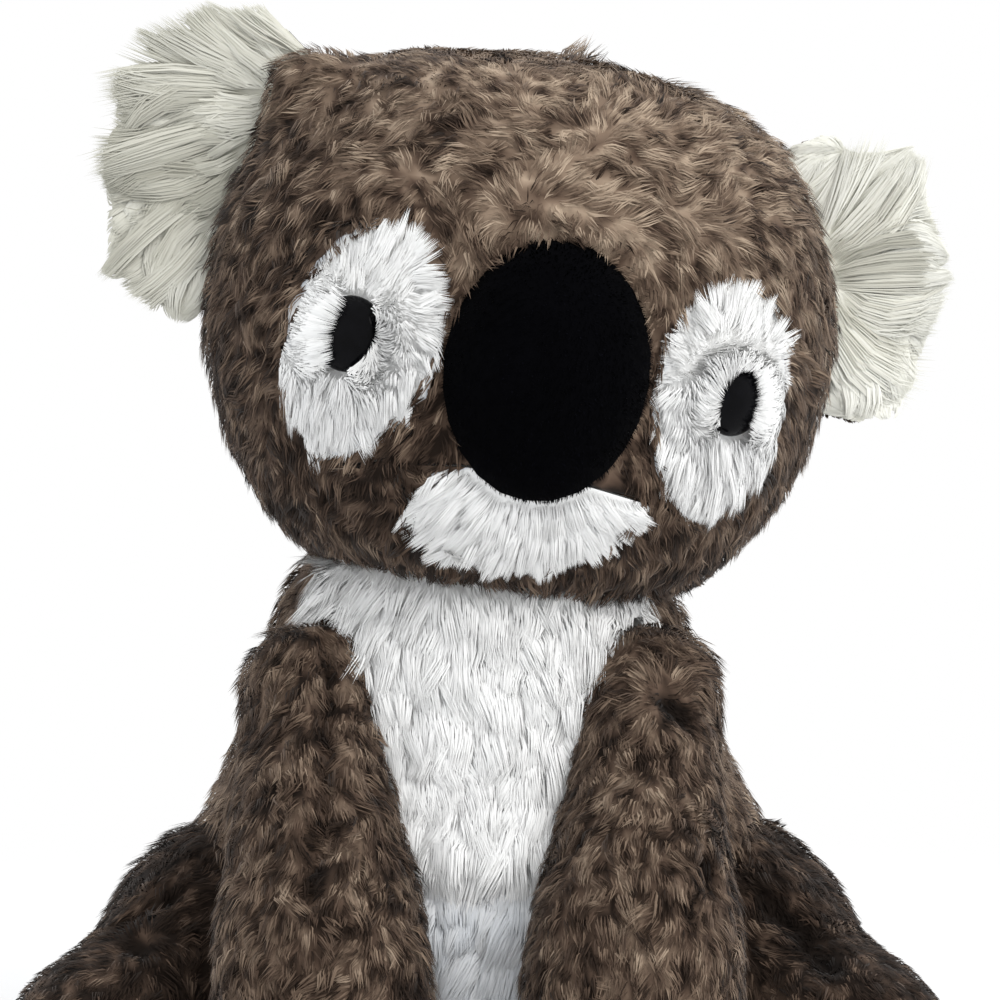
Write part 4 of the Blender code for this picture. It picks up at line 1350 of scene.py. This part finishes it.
@dataclass
class Ears:
    """Cream ears: long locks in front, brown pile behind."""

    frame: HeadFrame = HEAD
    left_middle: tuple[float, float, float] = (-0.0700, -0.015, 0.2450)
    right_middle: tuple[float, float, float] = (0.0945, 0.004, 0.2180)
    fan_place: tuple[float, float, float] = (0.0880, 0.004, 0.2175)
    lean: float = math.radians(17)
    flare: float = math.radians(14)
    half: tuple[float, float] = (0.0215, 0.0355)
    overhang: float = -0.0005
    left_spikes: tuple[tuple[float, float], ...] = (
        (-0.0956, 0.2672), (-0.0946, 0.2178), (-0.0925, 0.2425), (-0.0840, 0.2785), (-0.0680, 0.2855),
        (-0.0505, 0.2850), (-0.0735, 0.2035))
    right_spikes: tuple[tuple[float, float], ...] = (
        (0.0880, 0.2500), (0.0990, 0.2430), (0.1055, 0.2515), (0.1140, 0.2502), (0.1178, 0.2268), (0.1210, 0.2168), (0.1060, 0.1810),
        (0.0930, 0.1840))

    def nudges(self, side: Side) -> list[Nudge]:
        """Soft dents of the outline between the spikes."""
        if side is Side.LEFT:
            return [Nudge((-0.0910, -0.015, 0.2430), 0.013, (0.0024, 0.0, 0.0))]
        return [Nudge((0.0960, 0.008, 0.2560), 0.013, (-0.001, 0.0, -0.0045)),
                Nudge((0.0985, 0.008, 0.2480), 0.007, (0.0, 0.0, -0.0050)),
                Nudge((0.1150, 0.010, 0.2060), 0.010, (-0.0035, 0.0, 0.0))]

    def comb_left(self, points: Rows, _normals: Rows) -> Rows:
        """Outwards and up at the top, turning down towards the lobe."""
        share = np.clip((0.280 - points[:, 2]) / 0.070, 0, 1)
        inner = np.clip((points[:, 0] + 0.068) / 0.020, 0, 1) * (1 - share)
        angle = np.radians(150 + 105 * share**0.8 - 32 * inner) + 0.35 * swirl(points, 0.012, 12)[:, 0]
        return np.stack([np.cos(angle), -0.05 + 0 * angle, np.sin(angle)], axis=1)

    def comb_right(self, points: Rows, _normals: Rows) -> Rows:
        """Fanned out from the ear's dark fold, and hanging below it."""
        away = points - np.array(self.fan_place)
        away[:, 1] = 0
        fan = unit(away + np.array([0.006, 0.0, 0.0]))
        hang = np.clip(-away[:, 2] / 0.02, 0, 1)[:, None]
        way = fan * (1 - 0.7 * hang) + np.array([0.12, 0.0, -1.0]) * hang
        return way + 0.3 * swirl(points, 0.012, 13)

    def comb_back(self, points: Rows, _normals: Rows) -> Rows:
        """Outwards and down."""
        out = np.sign(points[:, 0])[:, None] * np.array([0.7, 0.0, 0.0])
        return out + np.array([0.0, 0.0, -0.8]) + 0.3 * swirl(points, 0.015, 14)

    def reach(self, side: Side) -> Callable[[Rows, Rows], Rows]:
        """Length share that keeps a lock's tip near the ear's outline."""
        middle = np.array(self.left_middle if side is Side.LEFT else self.right_middle)

        def share(points: Rows) -> Rows:
            own = (points - middle)[:, [0, 2]] / np.array(self.half)
            comb = self.comb_left if side is Side.LEFT else self.comb_right
            way = comb(points, points)[:, [0, 2]]
            way = way / np.maximum(np.linalg.norm(way, axis=1, keepdims=True), 1e-9) / np.array(self.half)
            qa = np.sum(way * way, axis=1)
            qb = np.sum(way * own, axis=1)
            qc = np.sum(own * own, axis=1) - 1
            room = (-qb + np.sqrt(np.maximum(qb * qb - qa * qc, 0))) / qa
            return np.clip((np.maximum(room, 0) + self.overhang) / 0.027, 0.09, 1.0)

        return share

    def back_reach(self, side: Side) -> Tone:
        """Length share of the ear's back, short beside its rim."""
        middle = np.array(self.left_middle if side is Side.LEFT else self.right_middle)
        return lambda points: np.clip(
            (1 - np.linalg.norm((points - middle)[:, [0, 2]] / self.half, axis=1)) / 0.3, 0.5, 1.0)

    def tone(self, points: Rows) -> Rows:
        """Cream, with grey-green tone wandering between the locks; painted shade darkens the left ear, away from the
        light, and the right ear's fold.
        """
        # Painted shade: the right ear's fold and the whole left ear, which faces away from the light, are darker.
        fold = np.exp(-((np.linalg.norm(points - np.array(self.fan_place), axis=1) / 0.008) ** 2))
        left = np.clip(-points[:, 0] / 0.05, 0, 1)
        return 0.72 - 0.34 * left + 0.22 * swirl(points, 0.011, 15)[:, 0] - 0.35 * fold

    def build(self) -> None:
        """Builds both ears, fronts and backs."""
        long_pile = Pile(Cut.LOCK, 0.027, 0.00044, 8200, rise=26, lay=7, lock=90, gather=0.6, tousle=12,
                         uneven=0.3, curl=0.5, loose=2, spread=0.25, flat=0.22)
        short_pile = Pile(Cut.FUZZ, 0.0038, 0.00085, 5000, rise=50, lay=20, lock=10, gather=0.42, tousle=30)
        for side in Side:
            middle = np.array(self.left_middle if side is Side.LEFT else self.right_middle)
            lean = Euler((0.0, -side.value * self.lean, side.value * self.flare)).to_matrix()
            facing = self.frame.aim(*(lean @ Vector((0.0, -1.0, 0.0))))
            behind, before = middle - 0.08 * facing, middle + 0.08 * facing
            FurPiece(
                f"ear_fur_{side.word}", "head", (f"ear_front_{side.word}",), "cream_pile", CREAM_PILE, long_pile,
                (behind, behind), self.comb_left if side is Side.LEFT else self.comb_right, self.tone,
                near=("head_skin",), lumps=0.0012, seed=31 + side.value, mixed=0.06, fill=0.3,
                marks=self.nudges(side), stretch=self.reach(side), stub=0.004,
                spikes=tuple(Spike(tip) for tip in (self.left_spikes if side is Side.LEFT else self.right_spikes)),
            ).build()
            FurPiece(
                f"ear_back_fur_{side.word}", "head", (f"ear_back_{side.word}",), "brown_plush", BROWN_PILE,
                short_pile, (before, before), self.comb_back, plain_tone(0.42), near=("head_skin",),
                lumps=0.0005, seed=34 + side.value, fill=0.3, marks=self.nudges(side),
                stretch=self.back_reach(side),
            ).build()


@dataclass
class Torso:
    """The sack of a body with its white belly."""

    def build(self) -> None:
        """Builds the body's and the belly's fur."""
        limbs = ("arm_skin_left", "arm_skin_right", "leg_skin_left", "leg_skin_right")
        core = (np.array([0.0, 0.0, 0.040]), np.array([0.0, 0.0, 0.118]))
        FurPiece(
            "body_fur", "torso", ("body_skin",), "brown_plush", BROWN_PILE,
            Pile(Cut.FUZZ, 0.0064, 0.00044, 42000, rise=50, lay=19, lock=10, gather=0.5, tousle=40, uneven=0.4),
            core, falling, plain_tone(0.48, 0.12), near=(*limbs, "head_skin", "belly_panel"), seed=41, mixed=0.08,
            mottle=0.42, rounds=1,
        ).build()
        FurPiece(
            "belly_fur", "torso", ("belly_panel",), "white_plush", WHITE_PILE,
            Pile(Cut.FUZZ, 0.0120, 0.00042, 31000, rise=34, lay=12, lock=50, gather=0.4, tousle=20, loose=3),
            core, falling, self.tone_belly, near=("head_skin", *limbs[:2]),
            # Its last value is painted shade along the belly's seam.
            marks=[Crease(((-0.030, -0.052, 0.0765), (0.0, -0.0572, 0.0745), (0.030, -0.052, 0.0775)), 0.004,
                          0.0022, 0.15)],
            seed=42, mixed=0.06, tufts=0.0009, rounds=2,
        ).build()

    def tone_belly(self, points: Rows) -> Rows:
        """White above the belly's crease, with painted shade greying it below."""
        # Painted shade: the lower belly, turned down and away from the light, is greyer.
        low = np.clip((0.080 - points[:, 2]) / 0.010, 0, 1)
        return 0.85 - 0.60 * low + 0.08 * swirl(points, 0.010, 16)[:, 0]


@dataclass
class Limbs:
    """Arms that hang forward and legs that sprawl, with velour soles."""

    shoulder: tuple[float, float, float] = (0.040, -0.030, 0.116)
    arm_length: float = 0.114
    arm_reach: float = math.radians(31)
    hip: tuple[float, float, float] = (0.060, -0.008, 0.047)
    leg_length: float = 0.067
    leg_droop: float = math.radians(66)
    leg_splay: tuple[float, float] = (math.radians(-41), math.radians(39))

    def arm_line(self, side: Side) -> tuple[Rows, Rows]:
        """From the shoulder to the paw."""
        start = np.array(self.shoulder) * [side.value, 1, 1]
        way = np.array(Euler((-self.arm_reach, 0, 0)).to_matrix() @ Vector((0, 0, -1)))
        return start + 0.006 * way, start + (self.arm_length - 0.022) * way

    def leg_line(self, side: Side) -> tuple[Rows, Rows]:
        """From the hip to the foot."""
        start = np.array(self.hip) * [side.value, 1, 1]
        turn = Euler((-self.leg_droop, 0, self.leg_splay[side is Side.RIGHT])).to_matrix()
        way = np.array(turn @ Vector((0, 0, -1)))
        return start, start + (self.leg_length - 0.028) * way

    def foot_reach(self, points: Rows) -> Rows:
        """Length share of the legs' pile, short at the feet's outer ends."""
        return 1 - 0.5 * np.clip((np.abs(points[:, 0]) - 0.085) / 0.02, 0, 1)

    def limb_comb(self, line: tuple[Rows, Rows], fans: tuple[tuple[tuple[float, ...], float], ...] = ()) -> Comb:
        """Along the limb to its end, fanned out from gathered spots.

        Args:
            line: The limb's core.
            fans: Gathered spots and how far they fan the pile.

        Returns:
            The comb.
        """
        way = unit((line[1] - line[0])[None])[0]

        def comb(points: Rows, _normals: Rows) -> Rows:
            rows = way + np.array([0.0, 0.0, -0.35]) + 0.6 * swirl(points, 0.018, 17)
            for place, radius in fans:
                away = points - np.array(place)
                near = np.exp(-((np.linalg.norm(away, axis=1) / radius) ** 2))[:, None]
                rows = rows * (1 - near) + 1.6 * near * unit(away + np.array([0.0, 0.0, -0.002]))
            return rows

        return comb

    def build(self) -> None:
        """Builds the limbs' fur and the soles."""
        # Each crease's last value is painted shade in the seams, dimples and the gathered spot.
        arm_marks = {
            Side.LEFT: [
                Crease(((-0.0363, -0.0394, 0.1308), (-0.0351, -0.0511, 0.1176), (-0.0354, -0.0626, 0.1048),
                        (-0.0356, -0.0790, 0.0855)), 0.0024, 0.0024, 0.17),
                Crease(((-0.0380, -0.0765, 0.0895), (-0.0377, -0.0812, 0.0831), (-0.0375, -0.0854, 0.0764)),
                       0.0026, 0.0024, 0.3),
            ],
            Side.RIGHT: [
                Crease(((0.0448, -0.0510, 0.1171), (0.0475, -0.0525, 0.1140)), 0.0030, 0.0024, 0.6),
                Crease(((0.0522, -0.0750, 0.0814), (0.0520, -0.0778, 0.0780)), 0.0026, 0.0024, 0.4),
                Crease(((0.0479, -0.0829, 0.0749), (0.0475, -0.0845, 0.0725)), 0.0020, 0.0022, 0.35),
            ],
        }
        leg_marks = {
            Side.LEFT: [Crease(((-0.0748, -0.0324, 0.0672), (-0.0866, -0.0346, 0.0602)), 0.0026, 0.0024, 0.22),
                        Crease(((-0.0807, -0.0449, 0.0572),), 0.0030, 0.0022, 0.3)],
            Side.RIGHT: [Crease(((0.0693, -0.0351, 0.0671), (0.0768, -0.0405, 0.0600), (0.0820, -0.0513, 0.0545)),
                                0.0032, 0.0024, 0.5)],
        }
        arm_fans = {Side.LEFT: (), Side.RIGHT: (((0.0448, -0.0510, 0.1171), 0.014),)}
        leg_fans = {Side.LEFT: (((-0.0808, -0.0446, 0.0571), 0.012),), Side.RIGHT: ()}
        arm_pile = Pile(Cut.FUZZ, 0.0061, 0.00044, 24000, rise=50, lay=18, lock=10, gather=0.5, tousle=40, uneven=0.4)
        leg_pile = replace(arm_pile, strands=22000)
        for side in Side:
            word = side.word
            line = self.arm_line(side)
            FurPiece(
                f"arm_fur_{word}", f"arm_{word}", (f"arm_skin_{word}",), "brown_plush", BROWN_PILE, arm_pile, line,
                self.limb_comb(line, arm_fans[side]), plain_tone(0.37, 0.14),
                near=("body_skin", "belly_panel", "head_skin", f"leg_skin_{word}"), marks=arm_marks[side],
                rounds=2, seed=51 + side.value, mixed=0.08, mottle=0.42,
            ).build()
            line = self.leg_line(side)
            # The legs' pile is set far darker than the arms': painted shade, as they lie low in shadow.
            FurPiece(
                f"leg_fur_{word}", f"leg_{word}", (f"leg_skin_{word}",), "brown_plush", BROWN_PILE, leg_pile, line,
                self.limb_comb(line, leg_fans[side]), plain_tone(0.13, 0.14), stretch=self.foot_reach,
                near=("body_skin", f"arm_skin_{word}", f"foot_pad_{word}"), marks=leg_marks[side],
                rounds=2, seed=54 + side.value, mixed=0.08, mottle=0.42,
            ).build()
            FurPiece(
                f"sole_{word}", f"leg_{word}", (f"foot_pad_{word}",), "black_velour", BLACK_VELOUR,
                Pile(Cut.FUZZ, 0.0013, 0.00032, 2200, rise=75, lay=55, lock=1, gather=0.0, tousle=40),
                line, falling, plain_tone(0.4, 0.2), lumps=0.0001, rounds=1, seed=57 + side.value, mixed=0.3,
            ).build()


@dataclass
class Insides:
    """What the skins hold: fill, seat pouch and the eyes' washers."""

    finishes: tuple[tuple[str, SolidFinish], ...] = (("polyester_fill", FILL), ("pouch_cloth", CALICO),
                                                     ("washer_plastic", WASHER))

    def build(self) -> None:
        """Gives the carried-over nodes their finishes."""
        by_slot = dict(self.finishes)
        for row in frame["record"]["subparts"]:
            finish = by_slot.get(row["material_slot"])
            if finish:
                node = frame["nodes"][row["node"]]
                node.data.materials.clear()
                node.data.materials.append(finish.material())
                LOG.info("%s: %s", row["node"], finish.name)


@dataclass
class Studio:
    """Camera, lamps, background and floor."""

    eye: tuple[float, float, float] = (0.005, -0.85, 0.20)
    aim: tuple[float, float, float] = (0.005, 0.0, 0.1625)
    view_width: float = 0.25
    sensor: float = 36.0
    world_level: float = 1.0

    def build_camera(self) -> None:
        """Sets the camera at the photograph's viewing angle."""
        data = bpy.data.cameras.new("camera")
        camera = bpy.data.objects.new("camera", data)
        bpy.context.scene.collection.objects.link(camera)
        way = Vector(self.aim) - Vector(self.eye)
        camera.location = self.eye
        camera.rotation_euler = way.to_track_quat("-Z", "Y").to_euler()
        data.sensor_width = self.sensor
        data.lens = self.sensor * way.length / self.view_width
        data.clip_start = 0.01
        data.clip_end = 20
        bpy.context.scene.camera = camera

    def build_lamp(self, name: str, place: tuple[float, float, float], size: float, power: float,
                   colour: Colour) -> None:
        """One soft area lamp that faces the toy.

        Args:
            name: Its name.
            place: Where it hangs.
            size: Metres across.
            power: Watts.
            colour: Its colour.
        """
        data = bpy.data.lights.new(name, "AREA")
        data.shape = "DISK"
        data.size = size
        data.energy = power
        data.color = colour
        lamp = bpy.data.objects.new(name, data)
        bpy.context.scene.collection.objects.link(lamp)
        lamp.location = place
        lamp.rotation_euler = (Vector((0, 0, 0.14)) - Vector(place)).to_track_quat("-Z", "Y").to_euler()

    def build_world(self) -> None:
        """Even daylight from all round, seen as plain white."""
        world = bpy.data.worlds.new("daylight")
        bpy.context.scene.world = world
        world.use_nodes = True
        tree = world.node_tree
        tree.nodes.clear()
        path = tree.nodes.new("ShaderNodeLightPath")
        seen = tree.nodes.new("ShaderNodeMath")
        seen.operation = "MAXIMUM"
        clear = tree.nodes.new("ShaderNodeMath")
        clear.operation = "MAXIMUM"
        daylight = tree.nodes.new("ShaderNodeBackground")
        daylight.inputs["Color"].default_value = (0.97, 0.985, 1.0, 1.0)
        daylight.inputs["Strength"].default_value = self.world_level
        white = tree.nodes.new("ShaderNodeBackground")
        white.inputs["Strength"].default_value = 1.0
        white.inputs["Color"].default_value = (1.0, 1.0, 1.0, 1.0)
        mix = tree.nodes.new("ShaderNodeMixShader")
        out = tree.nodes.new("ShaderNodeOutputWorld")
        link = tree.links.new
        link(path.outputs["Is Camera Ray"], seen.inputs[0])
        link(path.outputs["Is Glossy Ray"], seen.inputs[1])
        link(seen.outputs[0], clear.inputs[0])
        link(path.outputs["Is Transmission Ray"], clear.inputs[1])
        link(clear.outputs[0], mix.inputs["Fac"])
        link(daylight.outputs[0], mix.inputs[1])
        link(white.outputs[0], mix.inputs[2])
        link(mix.outputs[0], out.inputs["Surface"])

    def build_floor(self) -> None:
        """A round white floor that fades into the background."""
        bpy.ops.object.select_all(action="DESELECT")
        bpy.ops.mesh.primitive_circle_add(vertices=96, radius=1.6, fill_type="NGON")
        floor = bpy.context.object
        floor.name = "floor"
        made = bpy.data.materials.new("floor_paint")
        made.use_nodes = True
        tree = made.node_tree
        shader = tree.nodes["Principled BSDF"]
        shader.inputs["Base Color"].default_value = (0.88, 0.88, 0.88, 1.0)
        shader.inputs["Roughness"].default_value = 0.9
        where = tree.nodes.new("ShaderNodeTexCoord")
        away = tree.nodes.new("ShaderNodeVectorMath")
        away.operation = "LENGTH"
        fade = tree.nodes.new("ShaderNodeMapRange")
        fade.interpolation_type = "SMOOTHSTEP"
        fade.inputs["From Min"].default_value = 0.10
        fade.inputs["From Max"].default_value = 0.55
        clear = tree.nodes.new("ShaderNodeBsdfTransparent")
        mix = tree.nodes.new("ShaderNodeMixShader")
        link = tree.links.new
        link(where.outputs["Object"], away.inputs[0])
        link(away.outputs["Value"], fade.inputs["Value"])
        link(fade.outputs["Result"], mix.inputs["Fac"])
        link(shader.outputs["BSDF"], mix.inputs[1])
        link(clear.outputs["BSDF"], mix.inputs[2])
        link(mix.outputs[0], tree.nodes["Material Output"].inputs["Surface"])
        floor.data.materials.append(made)

    def build(self) -> None:
        """Sets up the whole studio."""
        self.build_camera()
        self.build_lamp("key", (0.75, -0.95, 0.95), 0.9, 8.5, (1.0, 0.985, 0.96))
        self.build_lamp("back", (0.2, 1.1, 0.8), 0.8, 4.0, (1.0, 1.0, 1.0))
        self.build_world()
        self.build_floor()
        bpy.context.scene.view_settings.view_transform = "Standard"


def main() -> None:
    """Builds the toy's sub-assemblies in order."""
    Studio().build()
    Torso().build()
    Limbs().build()
    Head().build()
    Ears().build()
    Insides().build()


if __name__ == "__main__":
    main()
